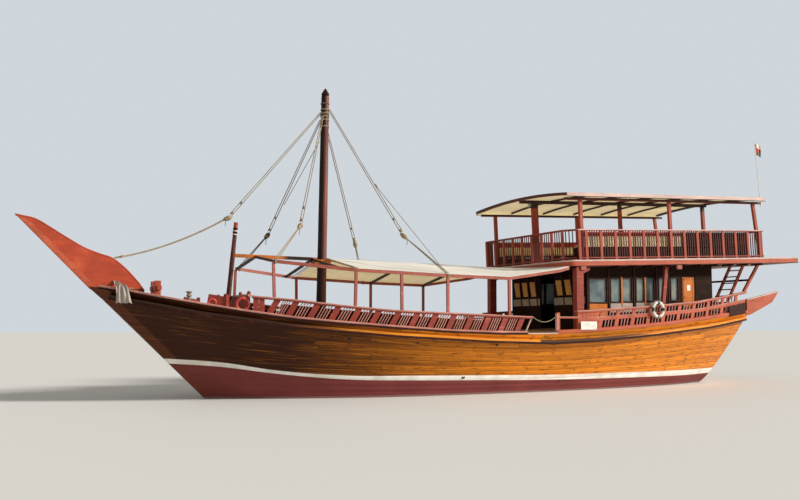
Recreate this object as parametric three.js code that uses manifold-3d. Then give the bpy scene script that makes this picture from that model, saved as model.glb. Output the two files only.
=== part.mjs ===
import * as THREE from 'three';
import Module from 'manifold-3d';
import { mergeVertices } from 'three/addons/utils/BufferGeometryUtils.js';

const wasm = await Module();
wasm.setup();

// Wooden dhow. Millimetres: X runs aft from amidships, Y to starboard, Z up from the waterline.
const SEAT = 0.3; // gap where one piece rests on another
const PORT = -1;
const STARBOARD = 1;
const SIDES = [[PORT, 'port'], [STARBOARD, 'starboard']];

// Hull profile: raked stem, raked transom and a straight keel that is deeper aft
const WATER_BOW = -8870;
const WATER_STERN = 8870;
const STEM_RAKE = 1.029;
const TRANSOM_RAKE = 0.44;
const KEEL_FORE = -1000;
const KEEL_AFT = -1350;
const KEEL_HALF = 80;
const DECK_CAMBER = 60;
const WIDEST = 2820;

const stemX = (z) => WATER_BOW - STEM_RAKE * z;
const sternX = (z) => WATER_STERN + TRANSOM_RAKE * z;

// Hull stations: deck edge x, z and half breadth, half breadth at the waterline,
// height where the body leaves the deadwood, and the topside's flare (over 1 is hollow)
const STATIONS = [
  [stemX(3070), 3070, 80, 80, -780, 1.0],
  [-11200, 2930, 560, 270, -790, 1.15],
  [-10300, 2740, 1040, 550, -810, 1.15],
  [-9300, 2560, 1470, 900, -820, 1.1],
  [-8200, 2370, 1860, 1220, -830, 1.05],
  [-7000, 2200, 2160, 1520, -850, 1.0],
  [-5700, 2080, 2420, 1790, -870, 0.95],
  [-4200, 1960, 2630, 1960, -890, 0.9],
  [-2600, 1850, 2750, 2030, -920, 0.9],
  [-900, 1790, 2810, 2060, -950, 0.9],
  [900, 1780, 2820, 2020, -960, 0.9],
  [2600, 1850, 2800, 1950, -930, 0.9],
  [4300, 1960, 2740, 1820, -860, 0.88],
  [5900, 2080, 2610, 1620, -740, 0.85],
  [7300, 2220, 2440, 1360, -580, 0.8],
  [8600, 2350, 2230, 1020, -400, 0.75],
  [sternX(2460), 2460, 1950, 600, -220, 0.7],
];

// Upper deck: its own tilted frame starts at the front edge, on top of the planks
const UPPER_FRONT = [1700, 0, 4035];
const UPPER_TILT = 0.0415;
const UPPER_LENGTH = 10030;
const UPPER_HALF = 2640;
const UPPER_THICK = 195;
const UPPER_CORNER = 260;
const UPPER_RAIL_END = 8420;
const UPPER_RAIL_HEIGHT = 970;
const CANOPY_HEIGHT = 2080;
const CANOPY_HALF = 2720;
const CANOPY_LENGTH = 8500;
const CANOPY_CAMBER = 150;

// Deckhouse under the upper deck
const CABIN_FRONT = 2750;
const CABIN_AFT = 8100;
const CABIN_HALF = 2130;
const CABIN_WALL = 60;
const WINDOW_BOTTOM = 2760;
const WINDOW_HEIGHT = 760;
const WINDOW_RISE = 0.03;
// Window pairs of edges along the side
const WINDOWS = [[2850, 3550], [3710, 4120], [4180, 4570], [4760, 5100], [5160, 5520], [5720, 6050],
  [6240, 6560]];
const DOOR_HINGE_X = 6770;
const DOOR_WIDTH = 546;
const DOOR_BOTTOM = 2330;
const DOOR_TOP = 3660;
const DOOR_THICK = 36;
const DOOR_CLEAR = 6;

// Mast and forward post: foot and top, with radii
const MAST_FOOT = [-5440, 0, 2000];
const MAST_TOP = [-5340, 0, 9095];
const MAST_RADIUS = 150;
const POST_FOOT = [-8292, 0, 2350];
const POST_TOP = [-8058, 0, 4980];
const POST_RADIUS = 75;

// Rudder hangs parallel to the transom, in a frame turned by the transom's rake
const RAKE_ANGLE = Math.atan(TRANSOM_RAKE);
const STOCK_X = 150;
const STOCK_RADIUS = 60;
const BEARINGS = [-1180, 100, 1400, 2300];
const BEARING_HEIGHT = 90;
const RUNNING = 0.3; // least clearance of a round bar in its hole

// Propeller in its aperture ahead of the sternpost
const SHAFT_Z = -780;
const PROPELLER_X = 7900;
const PROPELLER_RADIUS = 370;
const SHAFT_RADIUS = 35;
const APERTURE_FRONT = 7650;

const paint = (color, roughness, metalness = 0) => (
  new THREE.MeshStandardMaterial({ color, roughness, metalness }));
const HULL_WOOD = paint(0x8a4f2a, 0.35);
const PROW_ORANGE = paint(0xb5502f, 0.5);
const RAIL_RED = paint(0x7d3a2c, 0.5);
const BEAM_WOOD = paint(0xb0703c, 0.4);
const DECK_WOOD = paint(0x8c6b4c, 0.7);
const MAST_WOOD = paint(0x6b4437, 0.5);
const CANVAS = paint(0xe4dfd3, 0.9);
const ROPE = paint(0xb59a72, 0.9);
const CABIN_WOOD = paint(0x55301f, 0.5);
const DOOR_ORANGE = paint(0xc4713a, 0.5);
const WHITE = paint(0xf0eeea, 0.5);
const IRON = paint(0x4a4744, 0.6, 0.6);
const BRONZE = paint(0x9c7a45, 0.4, 0.9);
const CUSHION = paint(0xcbb489, 0.9);
const FLAG = paint(0xc23a35, 0.9);

const boat = new THREE.Group();
const upper = new THREE.Group();
upper.position.set(...UPPER_FRONT);
upper.rotation.y = -Math.atan(UPPER_TILT);
boat.add(upper);
const stern = new THREE.Group();
stern.position.set(WATER_STERN, 0, 0);
stern.rotation.y = RAKE_ANGLE;
boat.add(stern);
boat.updateMatrixWorld(true);

// Closed solids from three.js geometry
function toSolid(vertices, triangles) {
  let volume = 0;
  const at = (i) => new THREE.Vector3().fromArray(vertices, 3 * i);
  for (let t = 0; t < triangles.length; t += 3) {
    volume += at(triangles[t]).dot(at(triangles[t + 1]).cross(at(triangles[t + 2])));
  }
  const facing = [...triangles];
  if (volume < 0) {
    facing.reverse();
  }
  const mesh = { numProp: 3, vertProperties: new Float32Array(vertices), triVerts: new Uint32Array(facing) };
  return new wasm.Manifold(new wasm.Mesh(mesh));
}

function fromGeometry(geometry, matrix = new THREE.Matrix4()) {
  const bare = geometry.index ? geometry.toNonIndexed() : geometry.clone();
  bare.deleteAttribute('normal');
  bare.deleteAttribute('uv');
  bare.applyMatrix4(matrix);
  const merged = mergeVertices(bare, 1e-3);
  return toSolid(Array.from(merged.attributes.position.array), Array.from(merged.index.array));
}

// Skin over rings of points; a cap joins each end ring's points in facing pairs
function loft(rings) {
  const count = rings[0].length;
  const triangles = [];
  for (let i = 0; i + 1 < rings.length; i += 1) {
    for (let j = 0; j < count; j += 1) {
      const a = i * count + j;
      const b = i * count + (j + 1) % count;
      triangles.push(a, b, b + count, a, b + count, a + count);
    }
  }
  const last = (rings.length - 1) * count;
  for (let k = 0; k < Math.floor(count / 2); k += 1) {
    const [a, b, c, d] = [k, k + 1, count - 2 - k, count - 1 - k];
    if (b !== c) {
      triangles.push(a, c, b, last + a, last + b, last + c);
    }
    if (a !== c) {
      triangles.push(a, d, c, last + a, last + c, last + d);
    }
  }
  return toSolid(rings.flat(2), triangles);
}

const joined = (solids) => solids.reduce((sum, solid) => sum.add(solid));
const cut = (solid, tools) => tools.reduce((rest, tool) => rest.subtract(tool), solid);

// Straight timbers between two or more centre points, named for the axis that they run along
const alongX = (points, wide, high) => loft(points.map(([x, y, z]) => [
  [x, y - wide / 2, z - high / 2], [x, y + wide / 2, z - high / 2],
  [x, y + wide / 2, z + high / 2], [x, y - wide / 2, z + high / 2]]));
const alongY = (points, wide, high) => loft(points.map(([x, y, z]) => [
  [x - wide / 2, y, z - high / 2], [x + wide / 2, y, z - high / 2],
  [x + wide / 2, y, z + high / 2], [x - wide / 2, y, z + high / 2]]));
const alongZ = (points, long, wide) => loft(points.map(([x, y, z]) => [
  [x - long / 2, y - wide / 2, z], [x + long / 2, y - wide / 2, z],
  [x + long / 2, y + wide / 2, z], [x - long / 2, y + wide / 2, z]]));

function block([x0, y0, z0], [x1, y1, z1]) {
  const middle = new THREE.Matrix4().makeTranslation((x0 + x1) / 2, (y0 + y1) / 2, (z0 + z1) / 2);
  return fromGeometry(new THREE.BoxGeometry(x1 - x0, y1 - y0, z1 - z0), middle);
}

// Round bar from one point to another
function pole(from, to, radius, endRadius = radius, sides = 16) {
  const start = new THREE.Vector3(...from);
  const run = new THREE.Vector3(...to).sub(start);
  const turn = new THREE.Quaternion().setFromUnitVectors(new THREE.Vector3(0, 1, 0), run.clone().normalize());
  const middle = start.clone().addScaledVector(run, 0.5);
  const place = new THREE.Matrix4().compose(middle, turn, new THREE.Vector3(1, 1, 1));
  return fromGeometry(new THREE.CylinderGeometry(endRadius, radius, run.length(), sides), place);
}

// Upright board: an outline of x and z points with its thickness across the boat
function board(outline, y0, y1) {
  const shape = new THREE.Shape(outline.map(([x, z]) => new THREE.Vector2(x, z)));
  const slab = new THREE.ExtrudeGeometry(shape, { depth: Math.abs(y1 - y0), bevelEnabled: false });
  const upright = new THREE.Matrix4().makeRotationX(Math.PI / 2).setPosition(0, Math.max(y0, y1), 0);
  return fromGeometry(slab, upright);
}

function piece(name, solid, material, parent = boat) {
  const mesh = solid.getMesh();
  const geometry = new THREE.BufferGeometry();
  geometry.setAttribute('position', new THREE.Float32BufferAttribute(mesh.vertProperties, 3));
  geometry.setIndex(Array.from(mesh.triVerts));
  geometry.computeVertexNormals();
  const part = new THREE.Mesh(geometry, material);
  part.name = name;
  parent.add(part);
  return part;
}

const mix = (a, b, t) => a + (b - a) * t;

// Value of a rising table at x, straight between its rows
function lookUp(rows, x, column) {
  let i = 1;
  while (i < rows.length - 1 && rows[i][0] < x) {
    i += 1;
  }
  const t = (x - rows[i - 1][0]) / (rows[i][0] - rows[i - 1][0]);
  return mix(rows[i - 1][column], rows[i][column], t);
}
const edgeZ = (x) => lookUp(STATIONS, x, 1);
const edgeHalf = (x) => lookUp(STATIONS, x, 2);
const deckZ = (x, y) => edgeZ(x) + DECK_CAMBER * edgeHalf(x) / WIDEST * (1 - Math.abs(y) / edgeHalf(x));

// Hull, or the same body grown by a small gap to seat what stands on it
function hullBody(grow) {
  const rings = STATIONS.map(([x, z, edge, water, root, flare]) => {
    const u = (x - stemX(z)) / (sternX(z) - stemX(z));
    const keel = mix(KEEL_FORE, KEEL_AFT, u);
    const slope = (edge - water) / z;
    const bilgeZ = 0.6 * root;
    const bilge = Math.max(KEEL_HALF, water + slope * bilgeZ);
    const half = [[KEEL_HALF, keel - grow], [KEEL_HALF, root]];
    for (const t of [1 / 3, 2 / 3, 1]) {
      const y = (1 - t) ** 2 * KEEL_HALF + 2 * t * (1 - t) * bilge + t ** 2 * water;
      half.push([y, (1 - t) ** 2 * root + 2 * t * (1 - t) * bilgeZ]);
    }
    for (const t of [0.25, 0.5, 0.75, 1]) {
      half.push([mix(water, edge, t ** flare), z * t + (t === 1 ? grow : 0)]);
    }
    const end = grow * (2 * u - 1);
    const place = (side) => ([y, height]) => [
      mix(stemX(height), sternX(height), u) + end, side * (y + grow), height];
    const crown = z + grow + DECK_CAMBER * edge / WIDEST;
    const centre = [mix(stemX(z), sternX(z), u) + end, 0, crown];
    return [...half.map(place(STARBOARD)), centre, ...half.map(place(PORT)).reverse()];
  });
  return loft(rings);
}

const hullSeat = hullBody(SEAT);
const onHull = (solid) => solid.subtract(hullSeat);
const aperture = board([
  [APERTURE_FRONT, -1200], [WATER_STERN - 760, -1200], [WATER_STERN - 400, -350], [APERTURE_FRONT, -350],
], -400, 400);
const shaftBore = pole([APERTURE_FRONT - 400, 0, SHAFT_Z], [APERTURE_FRONT + 10, 0, SHAFT_Z],
  (SHAFT_RADIUS + RUNNING) / Math.cos(Math.PI / 24), undefined, 24);
piece('hull', cut(hullBody(0), [aperture, shaftBore]), HULL_WOOD);

// Prow board on the stem head
const PROW = [[-12010, 3000], [-13920, 4930], [-13435, 4835], [-13063, 4630], [-12661, 4384], [-12176, 4111],
  [-11790, 3964], [-11478, 3867], [-11132, 3607], [-10726, 3181], [-10600, 3000], [-10600, 2700],
  [-12010, 2700]];
const PROW_HALF = 45;
piece('prow_board', onHull(board(PROW, -PROW_HALF, PROW_HALF)), PROW_ORANGE);
const prowSeat = board(PROW, -PROW_HALF - SEAT, PROW_HALF + SEAT).translate(0, 0, SEAT);

// Bitts behind the stem head: two posts and a cross bar
const BITTS_X = -10290;
const BITTS_HALF = 260;
piece('bow_bitts', onHull(joined([
  alongZ([[BITTS_X, -BITTS_HALF, 2600], [BITTS_X, -BITTS_HALF, 3250]], 150, 150),
  alongZ([[BITTS_X, BITTS_HALF, 2600], [BITTS_X, BITTS_HALF, 3250]], 150, 150),
  alongY([[BITTS_X, -560, 3050], [BITTS_X, 560, 3050]], 110, 110)])), CABIN_WOOD);

// Rub rails on the planking: x and top z
const RUB_RAIL = [[-11700, 2880], [-9300, 2400], [-7000, 2070], [-4200, 1830], [-1280, 1660], [900, 1590],
  [2600, 1650], [5000, 1820], [7700, 2060], [9790, 2330]];
const RUB_WIDE = 160;
const RUB_HIGH = 90;

// Gunwale of the bow, from the stem head to the fore bulwark
const GUNWALE = [-11800, -8140];
// Rails of the fore bulwark: x, top z of the cap rail
const FORE_CAP = [[-8110, 2840], [-7000, 2740], [-5700, 2595], [-4200, 2465], [-2600, 2405], [-900, 2340],
  [200, 2300]];
// Slanted boards between the rails, each pair with four thin balusters between them
const BOARD_WIDE = 190;
const BOARD_THICK = 45;
const BALUSTER = 32;
const FORE_PANEL = [-8090, -7760];
const FORE_BOARD_FEET = [-7660, -7175, -6605, -6035, -5465, -4895, -4325, -3755, -3185, -2615, -2045, -1475,
  -905, -335];
const FORE_LEAN = 230;
const FORE_BALUSTERS = 4;
const GANGWAY = [20, 1120];
// Rails of the aft bulwark: x, z of the cap rail, z of the middle rail
const AFT_RAIL = [[1900, 2480, 2235], [4370, 2630, 2390], [7180, 2840, 2575], [9900, 3230, 2940]];
const AFT_MIDDLE = [50, 180]; // width and height
const AFT_PANEL_START = 1940;
const AFT_BOARD_WIDE = 160;
const AFT_BOARD_THICK = 40;
const AFT_BOARDS = [2740, 3400, 4060, 4740, 5420, 6130, 6850, 7600, 8400, 9200];
const AFT_LEAN = 150;
const AFT_BALUSTERS = 3;
const RAIL_IN = 70; // rail centre lines stand this far inside the hull's edge

const railY = (x) => edgeHalf(x) - RAIL_IN;
const stationXs = STATIONS.map((row) => row[0]);
const stationsBetween = (x0, x1) => [x0, ...stationXs.filter((x) => x > x0 && x < x1), x1];

// Bar along the boat's side at the heights of a table, standing on or above the deck edge
function sideBar(side, x0, x1, height, wide, high, out = 0) {
  return alongX(stationsBetween(x0, x1).map((x) => [x, side * (railY(x) + out), height(x)]), wide, high);
}

// Upright or leaning board in the line of the rails, from its foot's two ends up to the high rail
function railBoard(side, x0, x1, low, high, thick, lean = 0) {
  const ring = (shift, height) => [[x0, -1], [x1, -1], [x1, 1], [x0, 1]].map(([x, out]) => [
    x + shift, side * railY(x + shift) + out * thick / 2, height(x + shift)]);
  return loft([ring(0, low), ring(lean, high)]);
}

// Evenly spaced balusters between two boards' centre lines, leaning as the boards do
function railBalusters(side, x0, x1, count, low, high, lean) {
  const gap = (x1 - x0 - BOARD_WIDE) / (count + 1);
  return Array.from({ length: count }, (_, k) => {
    const x = x0 + BOARD_WIDE / 2 + gap * (k + 1);
    return railBoard(side, x - BALUSTER / 2, x + BALUSTER / 2, low, high, BALUSTER, lean);
  });
}

for (const [side, name] of SIDES) {
  const rub = stationsBetween(-11700, 9790).map((x) => [
    x, side * (edgeHalf(x) - 40), lookUp(RUB_RAIL, x, 1) - RUB_HIGH / 2]);
  piece(`rub_rail_${name}`, onHull(alongX(rub, RUB_WIDE, RUB_HIGH)), RAIL_RED);

  const gunwale = [
    sideBar(side, GUNWALE[0], GUNWALE[1], (x) => edgeZ(x) + 30, 150, 100, 15),
    sideBar(side, -9200, -8700, (x) => edgeZ(x) + 180, 60, 300),
    alongZ([[-8720, side * railY(-8720), edgeZ(-8720)], [-8720, side * railY(-8720), 3000]], 100, 100),
  ];
  piece(`gunwale_${name}`, onHull(joined(gunwale)), RAIL_RED);

  const cap = (x) => lookUp(FORE_CAP, x, 1);
  const foreLow = (x) => edgeZ(x) + 40;
  const foreHigh = (x) => cap(x) - 40;
  const fore = [
    sideBar(side, GUNWALE[1] + SEAT, GANGWAY[0], (x) => edgeZ(x) + 30, 150, 100, 15),
    sideBar(side, FORE_CAP[0][0], GANGWAY[0] + 200, (x) => cap(x) - 30, 130, 60),
    railBoard(side, ...FORE_PANEL, foreLow, foreHigh, BOARD_THICK),
  ];
  FORE_BOARD_FEET.forEach((x, k) => {
    const ends = [x - BOARD_WIDE / 2, x + BOARD_WIDE / 2];
    fore.push(railBoard(side, ...ends, foreLow, foreHigh, BOARD_THICK, FORE_LEAN));
    if (k > 0) {
      const before = FORE_BOARD_FEET[k - 1];
      fore.push(...railBalusters(side, before, x, FORE_BALUSTERS, foreLow, foreHigh, FORE_LEAN));
    }
  });
  piece(`fore_bulwark_${name}`, onHull(joined(fore)), RAIL_RED);

  const rail = (x, column) => lookUp(AFT_RAIL, x, column);
  const aftLow = (x) => edgeZ(x) + 60;
  const aftHigh = (x) => rail(x, 1) - 40;
  const aft = [
    sideBar(side, GANGWAY[1], 9900, (x) => edgeZ(x) + 45, 150, 110, 15),
    sideBar(side, GANGWAY[1], 1960, () => 2300, 110, 60),
    sideBar(side, 1900, 9900, (x) => rail(x, 1) - 30, 130, 60),
    sideBar(side, 1900, 9900, (x) => rail(x, 2) - AFT_MIDDLE[1] / 2, ...AFT_MIDDLE),
    alongZ([[1170, side * railY(1170), edgeZ(1170)], [1170, side * railY(1170), 2420]], 100, 100),
    alongZ([[1930, side * railY(1930), edgeZ(1930)], [1930, side * railY(1930), 2440]], 80, 80),
    railBoard(side, AFT_PANEL_START, AFT_BOARDS[0], aftLow, aftHigh, BOARD_THICK),
  ];
  AFT_BOARDS.forEach((x, k) => {
    const half = AFT_BOARD_WIDE / 2;
    aft.push(railBoard(side, x - half, x + half, aftLow, aftHigh, AFT_BOARD_THICK, AFT_LEAN));
    if (k > 0) {
      aft.push(...railBalusters(side, AFT_BOARDS[k - 1], x, AFT_BALUSTERS, aftLow, aftHigh, AFT_LEAN));
    }
  });
  piece(`aft_bulwark_${name}`, onHull(joined(aft)), RAIL_RED);
}

// Quarter wings carry the bulwarks aft past the transom, with a platform between them
const BULWARK_END = 9900;
const WING = [[BULWARK_END + SEAT, 2380], [10050, 2400], [11150, 2850], [11500, 3250],
  [BULWARK_END + SEAT, 2930]];
const WING_Y = 1890;
for (const [side, name] of SIDES) {
  piece(`quarter_wing_${name}`, onHull(board(WING, side * WING_Y, side * (WING_Y + 70))), RAIL_RED);
}
const PLATFORM = [[BULWARK_END + SEAT, 2440], [10050, 2440], [11080, 2850], [11080, 2900], [10030, 2530],
  [BULWARK_END + SEAT, 2530]];
piece('stern_platform', onHull(board(PLATFORM, -WING_Y + SEAT, WING_Y - SEAT)), DECK_WOOD);

// Breakwater across the foredeck: a rail on upright boards
const BREAKWATER_X = -8124;
const BREAKWATER_HALF = 1680;
const BREAKWATER_BOARDS = 15;
const breakwaterBoards = Array.from({ length: BREAKWATER_BOARDS }, (_, k) => (k - 7) * 225);
piece('breakwater', onHull(joined([
  alongY([[BREAKWATER_X, -BREAKWATER_HALF, 2840], [BREAKWATER_X, BREAKWATER_HALF, 2840]], 90, 80),
  ...breakwaterBoards.map((y) => alongZ([[BREAKWATER_X, y, 2300], [BREAKWATER_X, y, 2810]], 35, BOARD_WIDE)),
])), RAIL_RED);

// Mast and forward post
const mastTip = [MAST_TOP[0] + 2, 0, MAST_TOP[2] + 130];
piece('mast', onHull(joined([
  pole(MAST_FOOT, MAST_TOP, MAST_RADIUS, 0.8 * MAST_RADIUS),
  pole(MAST_TOP, mastTip, 0.8 * MAST_RADIUS, 30)])), MAST_WOOD);
piece('forward_post', onHull(pole(POST_FOOT, POST_TOP, POST_RADIUS, 0.8 * POST_RADIUS)), MAST_WOOD);

// Awning: x, ridge top z, eave half width and eave top z
const AWNING = [[-7530, 4075, 1850, 3815], [-5350, 4050, 2440, 3600], [-2600, 4000, 2680, 3500],
  [-560, 3950, 2740, 3460], [1300, 3920, 2700, 3740], [1660, 3930, 2660, 3830]];
const AWNING_POSTS = [-7530, -5350, -2600, -560];
const PORT_POST = -4010;
const RAFTERS = [-7480, -5720, -2600, -560];
const EAVE_HIGH = 90;
const EAVE_WIDE = 80;
const RIDGE_HIGH = 100;
const RIDGE_HALF = 45;
const CANVAS_THICK = 14;
const ridgeZ = (x) => lookUp(AWNING, x, 1);
const eaveY = (x) => lookUp(AWNING, x, 2);
const eaveZ = (x) => lookUp(AWNING, x, 3);
const mastAt = (z) => mix(MAST_FOOT[0], MAST_TOP[0], (z - MAST_FOOT[2]) / (MAST_TOP[2] - MAST_FOOT[2]));
const mastHole = pole([mastAt(3000), 0, 3000], [mastAt(5000), 0, 5000], MAST_RADIUS + 2, MAST_RADIUS + 2);
const postHole = pole(POST_FOOT, POST_TOP, POST_RADIUS + SEAT, 0.8 * POST_RADIUS + SEAT);
const ridgeRing = (x) => {
  const fall = RIDGE_HALF * (ridgeZ(x) - eaveZ(x)) / eaveY(x) + 12;
  const low = ridgeZ(x) - RIDGE_HIGH;
  return [[x, -RIDGE_HALF, low], [x, RIDGE_HALF, low], [x, RIDGE_HALF, ridgeZ(x) - fall], [x, 0, ridgeZ(x)],
    [x, -RIDGE_HALF, ridgeZ(x) - fall]];
};
const ridgeBeam = loft([-8160, -7530, -5350, -2600, -560, 1300, 1660].map(ridgeRing));
const rafters = RAFTERS.flatMap((x) => SIDES.map(([side]) => alongY([
  [x, 0, ridgeZ(x) - 65], [x, side * (eaveY(x) - 15), eaveZ(x) - 46]], 70, 70)));
const eaveBeam = (side, grow) => alongX(
  AWNING.map(([x, , y, z]) => [x, side * y, z - EAVE_HIGH / 2]), EAVE_WIDE + 2 * grow, EAVE_HIGH + 2 * grow);
const eaveSeats = SIDES.map(([side]) => eaveBeam(side, SEAT));
const mastCheek = block([-5700, -190, 3860], [-5200, 190, 3985]);
const ridge = joined([ridgeBeam, mastCheek, ...rafters]);
piece('awning_ridge', cut(ridge, [mastHole, postHole, ...eaveSeats]), BEAM_WOOD);
for (const [side, name] of SIDES) {
  const posts = [...AWNING_POSTS, ...(side === PORT ? [PORT_POST] : [])].map((x) => alongZ([
    [x, side * railY(x), lookUp(FORE_CAP, x - 37.5, 1) + SEAT],
    [x, side * eaveY(x), eaveZ(x) - EAVE_HIGH + 4]], 75, 70));
  piece(`awning_eave_${name}`, joined([eaveBeam(side, 0), ...posts]), BEAM_WOOD);
}
const canvasXs = [-5340, -4010, -2600, -1500, -560, 400, 1300, 1640];
piece('awning_canvas', cut(loft(canvasXs.map((x) => [
  [x, -eaveY(x), eaveZ(x) + SEAT], [x, 0, ridgeZ(x) + SEAT], [x, eaveY(x), eaveZ(x) + SEAT],
  [x, eaveY(x), eaveZ(x) + CANVAS_THICK], [x, 0, ridgeZ(x) + CANVAS_THICK],
  [x, -eaveY(x), eaveZ(x) + CANVAS_THICK],
])), [mastHole]), CANVAS);

// Upper deck: slab with rounded front corners, in its tilted frame
function deckPlan(length, half, corner) {
  const plan = new THREE.Shape();
  plan.moveTo(length, -half);
  plan.lineTo(length, half);
  plan.lineTo(corner, half);
  plan.absarc(corner, half - corner, corner, Math.PI / 2, Math.PI, false);
  plan.absarc(corner, corner - half, corner, Math.PI, 1.5 * Math.PI, false);
  return plan;
}
const slab = (under, depth) => {
  const plan = deckPlan(UPPER_LENGTH, UPPER_HALF, UPPER_CORNER);
  const body = new THREE.ExtrudeGeometry(plan, { depth, bevelEnabled: false, curveSegments: 5 });
  return body.translate(0, 0, -under);
};
piece('upper_deck', fromGeometry(slab(UPPER_THICK, UPPER_THICK)), DECK_WOOD, upper);
const slabSeat = fromGeometry(slab(UPPER_THICK + SEAT, 3000), upper.matrixWorld);
const underSlab = (solid) => solid.subtract(slabSeat);

// Pillars under the upper deck: name, foot x, half spacing and z, top x and half spacing, size
const PILLARS = [['front', 2120, 2520, 1700, 2130, 2520, 260], ['middle', 5500, 2420, 1900, 5850, 2420, 130],
  ['aft', 9830, railY(9830), lookUp(AFT_RAIL, 9885, 1) + SEAT, 10420, 2180, 110]];
const KNEE = [[2200, 3300], [2270, 3420], [2300, 3640], [2560, 3760], [2560, 4100], [2200, 4100]];
for (const [side, name] of SIDES) {
  for (const [row, foot, footHalf, footZ, top, topHalf, size] of PILLARS) {
    const timber = alongZ([[foot, side * footHalf, footZ], [top, side * topHalf, 4400]], size, size * 0.8);
    const knee = board(KNEE, side * footHalf - 40, side * footHalf + 40);
    const shape = row === 'front' ? joined([timber, knee]) : timber;
    piece(`pillar_${row}_${name}`, underSlab(onHull(shape)), row === 'front' ? RAIL_RED : BEAM_WOOD);
  }
}

// Deckhouse walls, as thick as the real ones, with windows and doorways cut
const wallTop = 4600;
const windowCut = (side) => WINDOWS.map(([x0, x1]) => {
  const z = WINDOW_BOTTOM + WINDOW_RISE * (x0 - WINDOWS[0][0]);
  return block([x0, side * CABIN_HALF - 100, z], [x1, side * CABIN_HALF + 100, z + WINDOW_HEIGHT]);
});
const DOOR_AXIS_Y = -CABIN_HALF + CABIN_WALL + 12;
const HINGES = [2560, 3400];
const knuckle = (z0, z1, radius) => pole(
  [DOOR_HINGE_X, DOOR_AXIS_Y, z0], [DOOR_HINGE_X, DOOR_AXIS_Y, z1], radius, undefined, 12);
for (const [side, name] of SIDES) {
  const y = [side * CABIN_HALF, side * (CABIN_HALF - CABIN_WALL)].sort((a, b) => a - b);
  const sill = stationsBetween(CABIN_FRONT, CABIN_AFT).map((x) => [x, deckZ(x, CABIN_HALF) - 40]);
  let wall = cut(board([...sill, [CABIN_AFT, wallTop], [CABIN_FRONT, wallTop]], y[0], y[1]), windowCut(side));
  if (side === PORT) {
    wall = wall.subtract(block([DOOR_HINGE_X - 2, y[0] - 50, DOOR_BOTTOM - 8],
      [DOOR_HINGE_X + DOOR_WIDTH + 14, y[1] + 50, DOOR_TOP + 8]));
    for (const z of HINGES) {
      const straps = [[z - 42, z - 1], [z + 41, z + 82]].map(([low, high]) => joined([
        block([DOOR_HINGE_X - 40, DOOR_AXIS_Y - 14, low], [DOOR_HINGE_X - 2, DOOR_AXIS_Y - 2, high]),
        knuckle(low, high, 10)]).subtract(knuckle(low - 5, high + 5, 4.6)));
      wall = joined([wall, ...straps]);
    }
  }
  piece(`cabin_wall_${name}`, underSlab(onHull(wall)), CABIN_WOOD);
}
const inner = CABIN_HALF - CABIN_WALL - SEAT;
const doorway = (x, y0, y1) => block([x - 100, y0, 1500], [x + 100, y1, 3700]);
piece('cabin_front', underSlab(onHull(cut(
  block([CABIN_FRONT, -inner, 1800], [CABIN_FRONT + CABIN_WALL, inner, wallTop]),
  [doorway(CABIN_FRONT, -400, 400)]))), CABIN_WOOD);
piece('cabin_aft', underSlab(onHull(cut(
  block([CABIN_AFT - CABIN_WALL, -inner, 2240], [CABIN_AFT, inner, wallTop]),
  [doorway(CABIN_AFT, 300, 1100)]))), CABIN_WOOD);
const leafY = DOOR_AXIS_Y - 8;
piece('cabin_door', joined([
  block([DOOR_HINGE_X + DOOR_CLEAR, leafY - DOOR_THICK, DOOR_BOTTOM],
    [DOOR_HINGE_X + DOOR_CLEAR + DOOR_WIDTH - 6, leafY, DOOR_TOP]),
  ...HINGES.flatMap((z) => [
    block([DOOR_HINGE_X, DOOR_AXIS_Y - 9, z], [DOOR_HINGE_X + 40, DOOR_AXIS_Y - 2, z + 40]),
    knuckle(z, z + 40, 10), knuckle(z - 40, z + 80, 4)]),
]), DOOR_ORANGE);

// Stern ladder between deck and upper deck: foot and head of each stringer
const LADDER_FOOT = [9150, 2640];
const LADDER_HEAD = [10240, 4300];
const LADDER_SIDES = [-1600, -1000];
const rungs = [0.12, 0.26, 0.4, 0.54, 0.68, 0.82].map((t) => alongY(LADDER_SIDES.map((y) => [
  mix(LADDER_FOOT[0], LADDER_HEAD[0], t), y, mix(LADDER_FOOT[1], LADDER_HEAD[1], t)]), 130, 35));
const ladderFoot = deckZ(9100, 1300);
piece('stern_ladder', underSlab(onHull(joined([
  ...LADDER_SIDES.map((y) => alongZ(
    [[9020, y, ladderFoot - 100], [LADDER_HEAD[0] + 30, y, LADDER_HEAD[1] + 60]], 110, 60)),
  ...rungs]))), BEAM_WOOD);

// Guard rails of the upper deck, in its tilted frame: wide posts with four balusters between each pair
const RAIL_START = 420;
const RAIL_FIRST_POST = 740;
const RAIL_POST_STEP = 579;
const RAIL_POST = [110, 55];
const RAIL_BALUSTER = [40, 28];
const RAIL_BALUSTER_ROOM = 100;
const RAIL_TOP_MIDDLE = UPPER_RAIL_HEIGHT - 25;
const RAIL_FOOT_MIDDLE = 70;
const postTop = UPPER_RAIL_HEIGHT - 40;
// Rail through points of x and y, with its posts and balusters at places of x and y, each long along the rail
function guardRail(run, along, posts, balusters) {
  const level = (z) => run.map(([x, y]) => [x, y, z]);
  const upright = ([x, y], [long, wide], foot) => (along === alongX
    ? alongZ([[x, y, foot], [x, y, postTop]], long, wide)
    : alongZ([[x, y, foot], [x, y, postTop]], wide, long));
  return joined([along(level(RAIL_TOP_MIDDLE), 80, 50), along(level(RAIL_FOOT_MIDDLE), 50, 45),
    ...posts.map((place) => upright(place, RAIL_POST, SEAT)),
    ...balusters.map((place) => upright(place, RAIL_BALUSTER, RAIL_FOOT_MIDDLE))]);
}

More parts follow.
